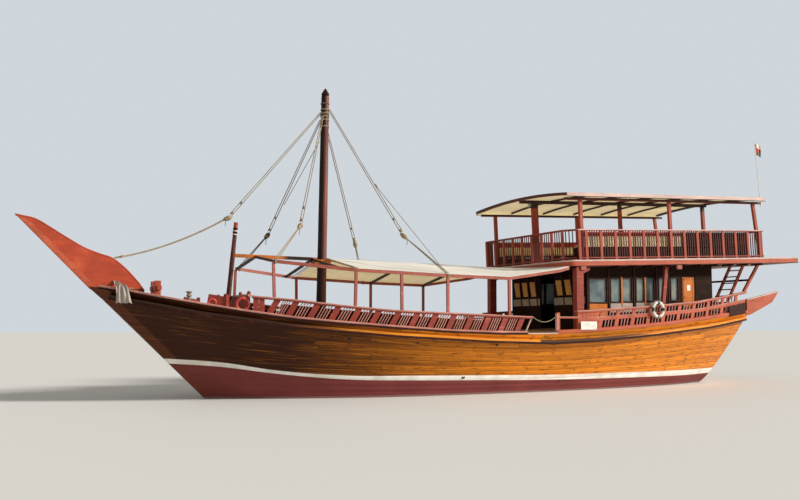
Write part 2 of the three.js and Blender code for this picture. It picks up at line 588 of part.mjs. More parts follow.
// Places of the balusters between each pair of posts on a straight rail
function betweenPosts(places) {
  return places.slice(1).flatMap((place, k) => {
    const clear = place - places[k] - RAIL_POST[0];
    const count = Math.floor(clear / RAIL_BALUSTER_ROOM);
    const first = places[k] + RAIL_POST[0] / 2;
    return Array.from({ length: count }, (_, n) => first + clear * (n + 1) / (count + 1));
  });
}
const sidePosts = [RAIL_START + RAIL_POST[0] / 2];
for (let x = RAIL_FIRST_POST; x < UPPER_RAIL_END - RAIL_POST[0] / 2; x += RAIL_POST_STEP) {
  sidePosts.push(x);
}
for (const [side, name] of SIDES) {
  const y = side * (UPPER_HALF - 60);
  piece(`upper_rail_${name}`, guardRail([[RAIL_START, y], [UPPER_RAIL_END, y]], alongX,
    sidePosts.map((x) => [x, y]), betweenPosts(sidePosts).map((x) => [x, y])), RAIL_RED, upper);
}
// The front rail turns aft at both corners and ends 10 mm short of the side rails
const FRONT_X = 80;
const FRONT_HALF = 2240;
const FRONT_END = [370, 2560];
const acrossPosts = [-4, -3, -2, -1, 0, 1, 2, 3, 4];
const frontPosts = acrossPosts.map((k) => k * 560);
const frontRun = [[FRONT_END[0], -FRONT_END[1]], [FRONT_X, -FRONT_HALF], [FRONT_X, FRONT_HALF], FRONT_END];
const cornerBalusters = [0.25, 0.5, 0.75].flatMap((t) => SIDES.map(([side]) => [
  mix(FRONT_X, FRONT_END[0], t), side * mix(FRONT_HALF, FRONT_END[1], t)]));
piece('upper_rail_front', guardRail(frontRun, alongY, frontPosts.map((y) => [FRONT_X, y]),
  [...betweenPosts(frontPosts).map((y) => [FRONT_X, y]), ...cornerBalusters]), RAIL_RED, upper);
const AFT_RAIL_HALF = 2500;
const AFT_RAIL_X = UPPER_RAIL_END + 60;
const aftPosts = acrossPosts.map((k) => k * (AFT_RAIL_HALF - 60) / 4);
piece('upper_rail_aft', guardRail([[AFT_RAIL_X, -AFT_RAIL_HALF], [AFT_RAIL_X, AFT_RAIL_HALF]], alongY,
  aftPosts.map((y) => [AFT_RAIL_X, y]), betweenPosts(aftPosts).map((y) => [AFT_RAIL_X, y])), RAIL_RED, upper);

// Canopy: side frames, a centre frame that carries the cross beams, and the cloth
const CANOPY_POST_XS = [650, 4300, 8250];
const CANOPY_POST_LEAN = [0, 0, -230];
const BEAM_UNDER = 60;
const CANOPY_YS = [-CANOPY_HALF, -1820, -900, 0, 900, 1820, CANOPY_HALF];
const camber = CANOPY_YS.map((y) => [y, CANOPY_HEIGHT + CANOPY_CAMBER * (1 - (y / CANOPY_HALF) ** 2)]);
const canopyZ = (y) => lookUp(camber, y, 1);
const SIDE_Y = UPPER_HALF - 160;
for (const [side, name] of SIDES) {
  const y = side * SIDE_Y;
  const top = canopyZ(SIDE_Y) - BEAM_UNDER - 70;
  piece(`canopy_side_${name}`, joined([
    alongX([[60, y, top - 40], [CANOPY_LENGTH + 24, y, top - 40]], 60, 80),
    ...CANOPY_POST_XS.map((x, k) => alongZ([
      [x + (k === 2 ? 110 : 0), y, SEAT], [x + CANOPY_POST_LEAN[k] / 2, y, top - 30]], 110, 90)),
  ]), BEAM_WOOD, upper);
}
const crossLine = (x) => [-2650, ...CANOPY_YS.slice(1, -1), 2650].map((y) => [
  x, y, canopyZ(y) - 8 - BEAM_UNDER / 2]);
piece('canopy_centre', joined([
  alongX([[60, 0, canopyZ(0) - 100], [CANOPY_LENGTH - 60, 0, canopyZ(0) - 100]], 70, 110),
  ...CANOPY_POST_XS.map((x) => alongZ([[x, 0, SEAT], [x, 0, canopyZ(0) - 80]], x < 1000 ? 220 : 110, 110)),
  ...[70, 1480, 2890, 4300, 5620, 6940, 8430].map((x) => alongY(crossLine(x), 60, BEAM_UNDER)),
]), BEAM_WOOD, upper);
const clothRing = (x) => {
  const back = [...CANOPY_YS].reverse();
  return [...CANOPY_YS.map((y) => [x, y, canopyZ(y) - 7.5]), ...back.map((y) => [x, y, canopyZ(y) + 18])];
};
piece('canopy_cloth', loft([0, CANOPY_LENGTH].map(clothRing)), CANVAS, upper);

// Benches with cushions along both sides of the upper deck
const BENCH = [700, 7900];
for (const [side, name] of SIDES) {
  const wall = side * (UPPER_HALF - 220);
  const front = side * (UPPER_HALF - 680);
  const sorted = (a, b) => [Math.min(a, b), Math.max(a, b)];
  const seat = sorted(wall, front);
  const back = sorted(wall, wall - side * 40);
  piece(`upper_bench_${name}`, joined([
    block([BENCH[0], seat[0], 380], [BENCH[1], seat[1], 420]),
    block([BENCH[0], back[0], 380], [BENCH[1], back[1], 900]),
    ...[BENCH[0], 3000, 5300, BENCH[1] - 60].map((x) => block([x, seat[0], SEAT], [x + 60, seat[1], 400])),
  ]), BEAM_WOOD, upper);
  const pad = sorted(wall - side * 41, front);
  const cushion = block([BENCH[0] + 5, pad[0] + 1, 420.5], [BENCH[1] - 5, pad[1] - 1, 500]);
  piece(`upper_cushion_${name}`, cushion, CUSHION, upper);
}

// Main stays: a collar round the mast, then rope down past a block to the beam that holds it
const eaveEdge = (x, side) => [x, side * (eaveY(x) + 36), eaveZ(x) - 6];
// name, height of the collar on the mast, block, lower end
const STAYS = [
  ['forestay', 8450, [-8300, 0, 5094], [-11440, 0, 3832]],
  ['stay_fore_starboard', 8240, [-6840, 900, 4728], eaveEdge(-7400, STARBOARD)],
  ['stay_fore_port', 8350, [-6470, -1000, 4857], eaveEdge(-7480, PORT)],
  ['stay_aft_starboard', 8040, [-3480, 1980, 4690], eaveEdge(-2900, STARBOARD)],
  ['stay_aft_port', 8560, [-3540, -1750, 4628], eaveEdge(-2600, PORT)],
];
const ROPE_RADIUS = 10;
const mastSeat = pole(MAST_FOOT, MAST_TOP, MAST_RADIUS + SEAT, 0.8 * MAST_RADIUS + SEAT);
const mastRadius = (z) => MAST_RADIUS * (1 - 0.2 * (z - MAST_FOOT[2]) / (MAST_TOP[2] - MAST_FOOT[2]));
for (const [name, height, middle, end] of STAYS) {
  const away = Math.atan2(middle[1], middle[0] - MAST_FOOT[0]);
  const reach = mastRadius(height) + ROPE_RADIUS;
  const start = [mastAt(height) + reach * Math.cos(away), reach * Math.sin(away), height];
  const collar = new THREE.TorusGeometry(mastRadius(height) + 8, ROPE_RADIUS, 5, 12);
  const rope = joined([
    fromGeometry(collar, new THREE.Matrix4().makeTranslation(mastAt(height), 0, height)),
    pole(start, middle, ROPE_RADIUS, undefined, 8),
    pole(middle, end, ROPE_RADIUS, undefined, 8),
    pole([middle[0], middle[1], middle[2] - 90], [middle[0], middle[1], middle[2] + 90], 55, 40, 8)]);
  piece(name, cut(rope, [mastSeat, prowSeat, ...eaveSeats]), ROPE);
}

// Lifebuoy hung flat against the aft bulwark's rail
const BUOY_X = 5140;
const BUOY_TUBE = 50;
const buoyYaw = Math.atan((railY(4300) - railY(5900)) / 1600);
const buoyY = PORT * (railY(BUOY_X) + 65 + (BUOY_TUBE + SEAT) / Math.cos(buoyYaw));
const buoyPlace = new THREE.Matrix4().makeRotationZ(buoyYaw)
  .multiply(new THREE.Matrix4().makeRotationX(Math.PI / 2));
piece('lifebuoy_aft', fromGeometry(new THREE.TorusGeometry(230, BUOY_TUBE, 8, 20),
  buoyPlace.setPosition(BUOY_X, buoyY, 2540)), WHITE);

// Flag staff at the canopy's aft corner, with a small limp flag
const STAFF_X = CANOPY_LENGTH + 48;
const STAFF_Y = -SIDE_Y;
piece('flag_staff', pole([STAFF_X, STAFF_Y, 1800], [STAFF_X - 120, STAFF_Y, 4130], 16, 10, 10), WHITE, upper);
const FLAG_OUTLINE = [[STAFF_X - 83, 3640], [STAFF_X + 150, 3590], [STAFF_X + 165, 3990],
  [STAFF_X - 104.8, 4050]];
piece('flag', board(FLAG_OUTLINE, STAFF_Y - 6, STAFF_Y + 6), FLAG, upper);

// Gangway rope: hangs slack between the two posts of the opening
const ROPE_SAG = 175;
const gangwayPoints = [];
for (let k = 0; k <= 12; k += 1) {
  const t = k / 12;
  gangwayPoints.push(new THREE.Vector3(mix(GANGWAY[0] + 206.4, GANGWAY[1] - 7.2, t), -railY(600),
    2310 - ROPE_SAG * 4 * t * (1 - t)));
}
const ropeShape = new THREE.Shape();
ropeShape.absarc(0, 0, 12, 0, 2 * Math.PI, false);
piece('gangway_rope', fromGeometry(new THREE.ExtrudeGeometry(ropeShape, {
  steps: 18, curveSegments: 4, bevelEnabled: false, extrudePath: new THREE.CatmullRomCurve3(gangwayPoints),
})), WHITE);

// Rudder and its hangings, in the frame of the transom
const stock = (radius, z0, z1) => pole([STOCK_X, 0, z0], [STOCK_X, 0, z1], radius, undefined, 24);
const ringRadius = STOCK_RADIUS + 50;
const holeRadius = (STOCK_RADIUS + RUNNING) / Math.cos(Math.PI / 24);
const strap = block([SEAT, -70, -1250], [22, 70, 2380]);
const rings = BEARINGS.map((z) => joined([
  stock(ringRadius, z - BEARING_HEIGHT / 2, z + BEARING_HEIGHT / 2),
  block([10, -70, z - BEARING_HEIGHT / 2], [STOCK_X, 70, z + BEARING_HEIGHT / 2]),
]).subtract(stock(holeRadius, z - 80, z + 80)));
piece('rudder_hangings', joined([strap, ...rings]), IRON, stern);
const BLADE = [[STOCK_X, -1340], [850, -1030], [900, -700], [700, 0], [430, 900], [340, 2000], [320, 2400],
  [STOCK_X, 2400]];
const notches = BEARINGS.map((z) => block([0, -200, z - 70], [STOCK_X + 150, 200, z + 70]));
const blade = cut(board(BLADE, -45, 45), notches);
piece('rudder', joined([blade, stock(STOCK_RADIUS, -1300, 2450)]), HULL_WOOD, stern);

// Propeller: hub, three twisted blades and the shaft that enters the deadwood
// Blade sections: radius, chord, thickness, pitch angle in degrees
const BLADE_SECTIONS = [[50, 120, 30, 62], [150, 210, 22, 44], [260, 230, 16, 31], [330, 170, 12, 26],
  [PROPELLER_RADIUS, 60, 8, 24]];
const propellerBlades = [0, 1, 2].map((k) => {
  const turn = k * 2 * Math.PI / 3;
  return loft(BLADE_SECTIONS.map(([radius, chord, thick, pitch]) => {
    const lead = THREE.MathUtils.degToRad(pitch);
    const corners = [[-1, -1], [1, -1], [1, 1], [-1, 1]].map(([a, b]) => [a * chord / 2, b * thick / 2]);
    return corners.map(([a, b]) => {
      const x = a * Math.sin(lead) + b * Math.cos(lead);
      const side = a * Math.cos(lead) - b * Math.sin(lead);
      return [PROPELLER_X + x, side * Math.cos(turn) + radius * Math.sin(turn),
        SHAFT_Z - side * Math.sin(turn) + radius * Math.cos(turn)];
    });
  }));
});
piece('propeller', joined([
  pole([PROPELLER_X - 90, 0, SHAFT_Z], [PROPELLER_X + 90, 0, SHAFT_Z], 75, 60, 24),
  pole([PROPELLER_X + 90, 0, SHAFT_Z], [PROPELLER_X + 170, 0, SHAFT_Z], 60, 20, 24),
  pole([APERTURE_FRONT - 390, 0, SHAFT_Z], [PROPELLER_X, 0, SHAFT_Z], SHAFT_RADIUS, undefined, 24),
  ...propellerBlades]), BRONZE);

export default boat;
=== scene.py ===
"""Looks of the dhow around its frame, in metres: X runs aft, Y to starboard, Z up from the waterline."""
import math

import bmesh
import bpy
import numpy as np
from bpy.props import FloatProperty, FloatVectorProperty, IntProperty, PointerProperty
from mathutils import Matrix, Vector


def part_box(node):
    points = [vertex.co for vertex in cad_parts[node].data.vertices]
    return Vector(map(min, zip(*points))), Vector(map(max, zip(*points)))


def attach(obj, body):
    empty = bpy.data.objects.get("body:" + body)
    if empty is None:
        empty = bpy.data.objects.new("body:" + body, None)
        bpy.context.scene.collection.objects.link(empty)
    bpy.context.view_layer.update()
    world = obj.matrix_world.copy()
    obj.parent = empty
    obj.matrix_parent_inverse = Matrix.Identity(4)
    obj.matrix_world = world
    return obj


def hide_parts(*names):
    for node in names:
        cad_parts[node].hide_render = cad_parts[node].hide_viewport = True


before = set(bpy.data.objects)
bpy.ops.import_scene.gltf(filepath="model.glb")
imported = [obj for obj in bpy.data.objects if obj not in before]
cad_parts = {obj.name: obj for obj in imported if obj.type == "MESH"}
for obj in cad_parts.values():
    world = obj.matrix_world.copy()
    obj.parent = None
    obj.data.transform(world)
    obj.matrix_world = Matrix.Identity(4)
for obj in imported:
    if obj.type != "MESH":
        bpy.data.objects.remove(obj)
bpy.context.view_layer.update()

bl_info = {
    "name": "Dhow looks",
    "version": (1, 0, 0),
    "blender": (4, 5, 0),
    "location": "View3D > Sidebar > Dhow",
    "description": "Finishes, cloth, rope and small fittings of a wooden dhow around its CAD frame",
    "category": "Object",
}

SIDES = ((-1, "port"), (1, "starboard"))

# Hull stations, as the frame has them: deck edge x and z, half breadth there and at the waterline,
# height where the body leaves the deadwood, and the topside's flare
STATIONS = np.array([
    (-12.029, 3.07, 0.08, 0.08, -0.78, 1.0),
    (-11.2, 2.93, 0.56, 0.27, -0.79, 1.15),
    (-10.3, 2.74, 1.04, 0.55, -0.81, 1.15),
    (-9.3, 2.56, 1.47, 0.9, -0.82, 1.1),
    (-8.2, 2.37, 1.86, 1.22, -0.83, 1.05),
    (-7.0, 2.2, 2.16, 1.52, -0.85, 1.0),
    (-5.7, 2.08, 2.42, 1.79, -0.87, 0.95),
    (-4.2, 1.96, 2.63, 1.96, -0.89, 0.9),
    (-2.6, 1.85, 2.75, 2.03, -0.92, 0.9),
    (-0.9, 1.79, 2.81, 2.06, -0.95, 0.9),
    (0.9, 1.78, 2.82, 2.02, -0.96, 0.9),
    (2.6, 1.85, 2.8, 1.95, -0.93, 0.9),
    (4.3, 1.96, 2.74, 1.82, -0.86, 0.88),
    (5.9, 2.08, 2.61, 1.62, -0.74, 0.85),
    (7.3, 2.22, 2.44, 1.36, -0.58, 0.8),
    (8.6, 2.35, 2.23, 1.02, -0.4, 0.75),
    (9.9524, 2.46, 1.95, 0.6, -0.22, 0.7),
])
KEEL_FORE, KEEL_AFT, KEEL_HALF = -1.0, -1.35, 0.08
WATERLINE_HALF, STEM_RAKE, TRANSOM_RAKE = 8.87, 1.029, 0.44
DECK_CAMBER, WIDEST, STRAKE_WIDTH = 0.06, 2.82, 0.22
RAIL_IN = 0.07
# Aperture for the propeller as an outline in x and z, and the aft end and radius of the shaft's bore
APERTURE = ((7.65, -1.2), (8.11, -1.2), (8.47, -0.35), (7.65, -0.35))
SHAFT_END, SHAFT_BORE = (7.65, 0, -0.78), 0.0356

# White line round the hull: x, lower and upper edge
PAINT_LINE = np.array([
    (-10.0, 1.0, 1.13), (-8.6, 0.9, 1.02), (-7.3, 0.72, 0.81), (-5.3, 0.53, 0.64), (-3.3, 0.47, 0.61),
    (-1.4, 0.43, 0.58), (1.5, 0.37, 0.52), (4.8, 0.34, 0.52), (7.7, 0.33, 0.51), (9.9, 0.36, 0.54),
])

# Tables of the rails, as the frame has them: x, height
FORE_CAP = np.array([
    (-8.11, 2.84), (-7.0, 2.74), (-5.7, 2.595), (-4.2, 2.465), (-2.6, 2.405), (-0.9, 2.34), (0.2, 2.3)])
AFT_CAP = np.array([(1.9, 2.48), (4.37, 2.63), (7.18, 2.84), (9.9, 3.23)])
AFT_MIDDLE = np.array([(1.9, 2.235), (4.37, 2.39), (7.18, 2.575), (9.9, 2.94)])
RUB_TOP = np.array([
    (-11.7, 2.88), (-9.3, 2.4), (-7.0, 2.07), (-4.2, 1.83), (-1.28, 1.66), (0.9, 1.59), (2.6, 1.65),
    (5.0, 1.82), (7.7, 2.06), (9.79, 2.33)])
# Awning: x, height of the ridge, half breadth and height of the eaves; then x of its rafters
AWNING = np.array([
    (-7.53, 4.075, 1.85, 3.815), (-5.35, 4.05, 2.44, 3.6), (-2.6, 4.0, 2.68, 3.5), (-0.56, 3.95, 2.74, 3.46),
    (1.3, 3.92, 2.7, 3.74), (1.66, 3.93, 2.66, 3.83)])
AWNING_RAFTERS = np.array([-5.34, -2.6, -0.56, 1.64])

# Upper deck: its own frame starts at the middle of its front edge and rises aft with its slope
UPPER_FRONT, UPPER_SLOPE = np.array((1.7, 0.0, 4.035)), 0.0415
UPPER_HALF, UPPER_LENGTH, UPPER_CORNER = 2.64, 10.03, 0.26
CANOPY_LENGTH, CANOPY_HALF, CANOPY_HEIGHT, CANOPY_CAMBER = 8.5, 2.72, 2.08, 0.15
CANOPY_BEAMS = np.array([0.07, 1.48, 2.89, 4.3, 5.62, 6.94, 8.43])
BENCH = (0.7, 7.9)

# Deckhouse: half breadth, windows from x to x, and the door's two x and two heights
CABIN_HALF = 2.13
WINDOWS = ((2.85, 3.55), (3.71, 4.12), (4.18, 4.57), (4.76, 5.1), (5.16, 5.52), (5.72, 6.05), (6.24, 6.56))
WINDOW_BOTTOM, WINDOW_HEIGHT, WINDOW_RISE = 2.76, 0.76, 0.03
DOOR = (6.776, 7.316, 2.33, 3.66)

# Bulwarks: x of their boards' feet, lean of the heads, and where the rails run
FORE_FEET = np.append(-7.66, -7.175 + 0.57 * np.arange(13))
AFT_FEET = np.array([2.74, 3.4, 4.06, 4.74, 5.42, 6.13, 6.85, 7.6, 8.4, 9.2])
FORE_LEAN, AFT_LEAN = 0.23, 0.15
FORE_RUN, AFT_RUN, BY_GANGWAY, FORE_BENCH = (-8.11, 0.22), (1.9, 9.9), (1.12, 1.96), (-7.3, -0.2)
BREAKWATER_X = -8.124
# Rope across the gangway: x of its two posts, height of its ends and sag
GANGWAY_POSTS, GANGWAY_HEIGHT, GANGWAY_SAG = (0.2264, 1.1128), 2.31, 0.175

# Mast and stays: name, height of the collar on the mast, block, lower end
MAST_FOOT, MAST_TOP, MAST_RADIUS = np.array((-5.44, 0, 2.0)), np.array((-5.34, 0, 9.095)), 0.15
POST_FOOT, POST_TOP, POST_RADIUS = np.array((-8.292, 0, 2.35)), np.array((-8.058, 0, 4.98)), 0.075
STAYS = (
    ("forestay", 8.45, (-8.3, 0, 5.094), (-11.44, 0, 3.832)),
    ("stay_fore_starboard", 8.24, (-6.84, 0.9, 4.728), (-7.4, 1)),
    ("stay_fore_port", 8.35, (-6.47, -1.0, 4.857), (-7.48, -1)),
    ("stay_aft_starboard", 8.04, (-3.48, 1.98, 4.69), (-2.9, 1)),
    ("stay_aft_port", 8.56, (-3.54, -1.75, 4.628), (-2.6, -1)),
)
# Second lines, with the stay that each joins: from the mast or a knot on the stay to the far end
LINES = {
    "stay_fore_starboard": ((-5.49, 0.1, 7.58), (-6.42, 0.6, 5.65)),
    "stay_aft_port": ((-4.03, -0.86, 6.2), (-2.66, -2.74, 3.5)),
}


def column(rows, x, which=1):
    """A column of a table at x, straight between its rows."""
    return np.interp(x, rows[:, 0], rows[:, which])


def height_of(rows, lift=0.0):
    """A height as a function of x: the second column of a table, raised by lift."""
    return lambda x: column(rows, x) + lift


def rail_y(x):
    """Half spacing of the rails' centre lines: a little inside the deck's edge."""
    return column(STATIONS, x, 2) - RAIL_IN


def upper(points):
    """Points of the upper deck's own frame, turned by its slope and moved to the boat's frame."""
    x, y, z = np.moveaxis(np.asarray(points, float), -1, 0)
    tilt = math.atan(UPPER_SLOPE)
    c, s = math.cos(tilt), math.sin(tilt)
    return np.stack([x * c - z * s, y, x * s + z * c], -1) + UPPER_FRONT


def smooth_rows(rows, x):
    """Every column of a table at x: cubics between the rows that share the rows' own mean slopes."""
    known = rows[:, 0]
    slopes = np.gradient(rows[:, 1:], known, axis=0)
    i = np.clip(np.searchsorted(known, x) - 1, 0, len(known) - 2)
    step = (known[i + 1] - known[i])[:, None]
    t = (x - known[i])[:, None] / step
    a, b = rows[i, 1:], rows[i + 1, 1:]
    return (a * (1 + 2 * t) * (1 - t) ** 2 + b * t * t * (3 - 2 * t)
            + slopes[i] * step * t * (1 - t) ** 2 - slopes[i + 1] * step * t * t * (1 - t))


# Surfaces: each maker returns points and faces, and add() makes one mesh of several of them
def skin(grid, around=False, capped=True):
    """Quads over a grid of points. Around joins the last column to the first, and caps join facing columns
    at both ends."""
    rows, columns = grid.shape[:2]
    index = np.arange(rows * columns).reshape(rows, columns)
    left = index if around else index[:, :-1]
    right = np.roll(index, -1, 1) if around else index[:, 1:]
    faces = np.stack([left[:-1], right[:-1], right[1:], left[1:]], -1).reshape(-1, 4).tolist()
    if around and capped:
        for ring, turn in ((index[0], -1), (index[-1], 1)):
            for k in range(columns // 2):
                corners = [ring[k], ring[k + 1], ring[columns - 2 - k], ring[columns - 1 - k]]
                corners = list(dict.fromkeys(int(c) for c in corners))
                if len(corners) > 2:
                    faces.append(corners[::turn])
    return grid.reshape(-1, 3), faces


def unit(vectors):
    return vectors / np.maximum(np.linalg.norm(vectors, axis=-1, keepdims=True), 1e-12)


def sweep(path, profile, up=(0, 0, 1), loop=False):
    """A profile carried along a path: path point + first number x sideways + second number x upward of the
    path. profile is one ring of pairs, or one ring for each path point; loop closes the path on itself."""
    path = np.asarray(path, float)
    if loop:
        along = unit(np.roll(path, -1, 0) - np.roll(path, 1, 0))
    else:
        along = unit(np.gradient(path, axis=0))
    side = unit(np.cross(along, np.asarray(up, float)))
    over = np.cross(side, along)
    profile = np.asarray(profile, float)
    if profile.ndim == 2:
        profile = np.broadcast_to(profile, (len(path),) + profile.shape)
    grid = path[:, None] + profile[..., :1] * side[:, None] + profile[..., 1:] * over[:, None]
    if loop:
        grid = np.concatenate([grid, grid[:1]])
    points, faces = skin(grid, around=True, capped=not loop)
    if loop:
        size = len(profile[0])
        last = len(path) * size
        faces = [[c - last if c >= last else c for c in face] for face in faces]
        points = points[:last]
    return points, faces


def full_turn(count):
    """Turns round a circle in equal steps, in radians."""
    return np.arange(count) * 2 * math.pi / count


def circle(radius, sides=12):
    """Ring of pairs: radius times the cosine and sine of equal turns."""
    turn = full_turn(sides)
    return radius * np.stack([np.cos(turn), np.sin(turn)], -1)


def round_about(turn, first, second):
    """One point for each turn: its cosine x one direction + its sine x another."""
    return np.cos(turn)[:, None] * first + np.sin(turn)[:, None] * second


def directions(axis):
    """A unit axis and two unit directions across it."""
    axis = unit(np.asarray(axis, float))
    first = unit(np.cross(axis, (1, 0, 0) if abs(axis[0]) < 0.9 else (0, 1, 0)))
    return axis, first, np.cross(axis, first)


def bar_ring(wide, high, ease=0.006):
    """Ring of pairs round a rectangle whose corners are cut by a small ease."""
    a, b = wide / 2, high / 2
    ease = min(ease, 0.3 * wide, 0.3 * high)
    return np.array([(a, -b + ease), (a, b - ease), (a - ease, b), (-a + ease, b),
                     (-a, b - ease), (-a, -b + ease), (-a + ease, -b), (a - ease, -b)])


def bar(path, wide, high, ease=0.006, up=(0, 0, 1)):
    """Timber along a path: an eased rectangle carried along it."""
    return sweep(path, bar_ring(wide, high, ease), up)


def box(low, high, ease=0.004):
    """Block between two corners, as a short bar along its longest side."""
    low, high = np.asarray(low, float), np.asarray(high, float)
    size, middle = high - low, (low + high) / 2
    axis = int(np.argmax(size))
    ends = np.array([middle, middle])
    ends[0, axis], ends[1, axis] = low[axis], high[axis]
    up = (0, 0, 1) if axis != 2 else (0, 1, 0)
    wide = size[1] if axis == 0 else size[0]
    tall = size[2] if axis != 2 else size[1]
    return bar(ends, wide, tall, ease, up)


def turned(profile, foot, axis=(0, 0, 1), sides=20):
    """Turned shape: each pair (radius, height) swept round an axis through foot, closed at both ends."""
    axis, first, second = directions(axis)
    profile = np.asarray(profile, float)
    around = round_about(full_turn(sides), first, second)
    grid = np.asarray(foot, float) + profile[:, None, 1:] * axis + profile[:, None, :1] * around
    return skin(grid, around=True)


def torus(centre, radius, tube, axis=(0, 0, 1), sides=40, around=12):
    """Ring: a circle carried round a circle."""
    axis, first, second = directions(axis)
    path = np.asarray(centre, float) + radius * round_about(full_turn(sides), first, second)
    return sweep(path, circle(tube, around), up=axis, loop=True)


def run_of(points):
    """Length of a path from its start to each of its points."""
    return np.concatenate([[0], np.cumsum(np.linalg.norm(np.diff(points, axis=0), axis=1))])


def smooth_path(points, step):
    """Points along a curve through the given ones, about one step apart: cubics that share the mean
    slopes."""
    points = np.asarray(points, float)
    run = run_of(points)
    count = max(2, int(run[-1] / step) + 1)
    if len(points) < 3:
        return points[0] + np.linspace(0, 1, count)[:, None] * (points[1] - points[0])
    return smooth_rows(np.column_stack([run, points]), np.linspace(0, run[-1], count))


def laid_rope(points, radius, step=0.02, strands=3, sides=12):
    """Laid rope: a ring whose radius swells once for each strand, carried along the path while it turns
    once in fourteen radii."""
    path = smooth_path(points, step)
    lay = run_of(path)[:, None] * 2 * math.pi / (14 * radius)
    lobes = radius * (0.86 + 0.14 * np.cos(strands * (full_turn(sides) - lay)))
    direction = path[-1] - path[0]
    up = (0, 0, 1) if abs(direction[2]) < 0.9 * np.linalg.norm(direction) else (0, 1, 0)
    return sweep(path, lobes[..., None] * circle(1, sides), up)


def coil(centre, radius, tube, turns, axis=(0, 0, 1)):
    """Rope wound round a post: a circle that rises by one rope's width in each turn."""
    axis, first, second = directions(axis)
    turn = np.linspace(0, turns * 2 * math.pi, int(turns * 20) + 1)
    rise = 2 * tube * (turn / (2 * math.pi) - turns / 2)[:, None] * axis
    path = np.asarray(centre, float) + (radius * round_about(turn, first, second) + rise)
    return sweep(path, circle(tube, 8), up=axis)


def squared_off(number, power):
    """A number raised to a power below one, with its sign kept."""
    return np.sign(number) * np.abs(number) ** power


def hoops(centre, high, wide, tube, count):
    """Rope passed a few times round a beam that runs along the boat: rounded rectangles side by side."""
    turn = full_turn(24)
    ring = np.stack([0 * turn, -squared_off(np.cos(turn), 0.45) * (wide / 2 + tube),
                     squared_off(np.sin(turn), 0.45) * (high / 2 + tube)], -1)
    places = (np.arange(count) - (count - 1) / 2) * 2.1 * tube
    return [sweep(centre + ring + (place, 0, 0), circle(tube, 8), up=(1, 0, 0), loop=True)
            for place in places]


def plate(outline, low, high, axis=1):
    """Flat board: an outline of pairs in the plane across the axis, between two places on the axis."""
    outline = np.asarray(outline, float)
    rings = [np.insert(outline, axis, place, axis=1) for place in (low, high)]
    count = len(outline)
    points = np.concatenate(rings)
    faces = [[k, (k + 1) % count, count + (k + 1) % count, count + k] for k in range(count)]
    return points, faces + [list(range(count))[::-1], list(range(count, 2 * count))]


def uprights(feet, heads, along, wide, thick, ease=0.004):
    """Boards from feet to heads, all alike: an eased rectangle at both ends, wide along the rail, thick
    across it."""
    feet, heads = np.asarray(feet, float), np.asarray(heads, float)
    along = unit(np.broadcast_to(np.asarray(along, float), feet.shape) * (1, 1, 0))
    across = np.stack([-along[:, 1], along[:, 0], 0 * along[:, 0]], -1)
    ring = bar_ring(wide, thick, ease)
    offset = ring[None, :, :1] * along[:, None] + ring[None, :, 1:] * across[:, None]
    grid = np.stack([feet[:, None] + offset, heads[:, None] + offset], 1)
    count = 2 * len(ring)
    one = skin(grid[0], around=True)[1]
    faces = [[corner + count * k for corner in face] for k in range(len(feet)) for face in one]
    return grid.reshape(-1, 3), faces


def shell(centre, along, side, long, wide, thick, boxy=0.6):
    """Rounded block: cosines and sines of latitude and turn, each raised to a power below one, times half
    sizes."""
    along, side = unit(np.asarray(along, float)), unit(np.asarray(side, float))
    latitude, turn = np.linspace(-math.pi / 2, math.pi / 2, 9)[:, None], full_turn(16)
    power = lambda number: squared_off(number, boxy)[..., None]
    grid = (np.asarray(centre, float) + power(np.sin(latitude)) * along * long / 2
            + power(np.cos(latitude)) * power(np.cos(turn)) * side * wide / 2
            + power(np.cos(latitude)) * power(np.sin(turn)) * np.cross(along, side) * thick / 2)
    return skin(grid, around=True)


def between(places, wide, count):
    """Evenly spaced places in each gap between neighbours of this width."""
    share = np.arange(1, count + 1) / (count + 1)
    return (places[:-1, None] + wide / 2 + (np.diff(places) - wide)[:, None] * share).ravel()


def rail_line(side, xs, height, out=0.0):
    """Points in the line of the bulwarks' rails, further out by some metres, at a height that follows x."""
    xs = np.asarray(xs, float)
    return np.stack([xs, side * (rail_y(xs) + out), height(xs) + 0 * xs], -1)


def side_bar(side, x0, x1, top, wide, high, out=0.0, ease=0.008):
    """Rail along the boat's side with its top at a height that follows x."""
    xs = np.linspace(x0, x1, max(3, int((x1 - x0) / 0.3)))
    return bar(rail_line(side, xs, lambda x: top(x) - high / 2, out), wide, high, ease)


def rail_boards(side, feet_x, lean, low, high, wide, thick):
    """Boards in the line of the rails that lean aft from the low height to the high one."""
    feet_x = np.atleast_1d(np.asarray(feet_x, float))
    along = rail_line(side, feet_x + 0.05, low) - rail_line(side, feet_x - 0.05, low)
    return uprights(rail_line(side, feet_x, low), rail_line(side, feet_x + lean, high), along, wide, thick)


def rail_post(side, x, wide, top, ease=0.01):
    """Square post in the line of the rails, from the deck's edge up to a height."""
    foot, head = rail_line(side, [x], height_of(STATIONS)), rail_line(side, [x], lambda x: top)
    return uprights(foot, head, (1, 0, 0), wide, wide, ease)


def foot_mouldings(side, x0, x1):
    """Pale moulding along the deck's edge, and under it a dark strake that is painted as its shadow."""
    return (side_bar(side, x0, x1, height_of(STATIONS, 0.08), 0.16, 0.055, 0.018, 0.016),
            side_bar(side, x0, x1, height_of(STATIONS, 0.025), 0.14, 0.05, 0.01))


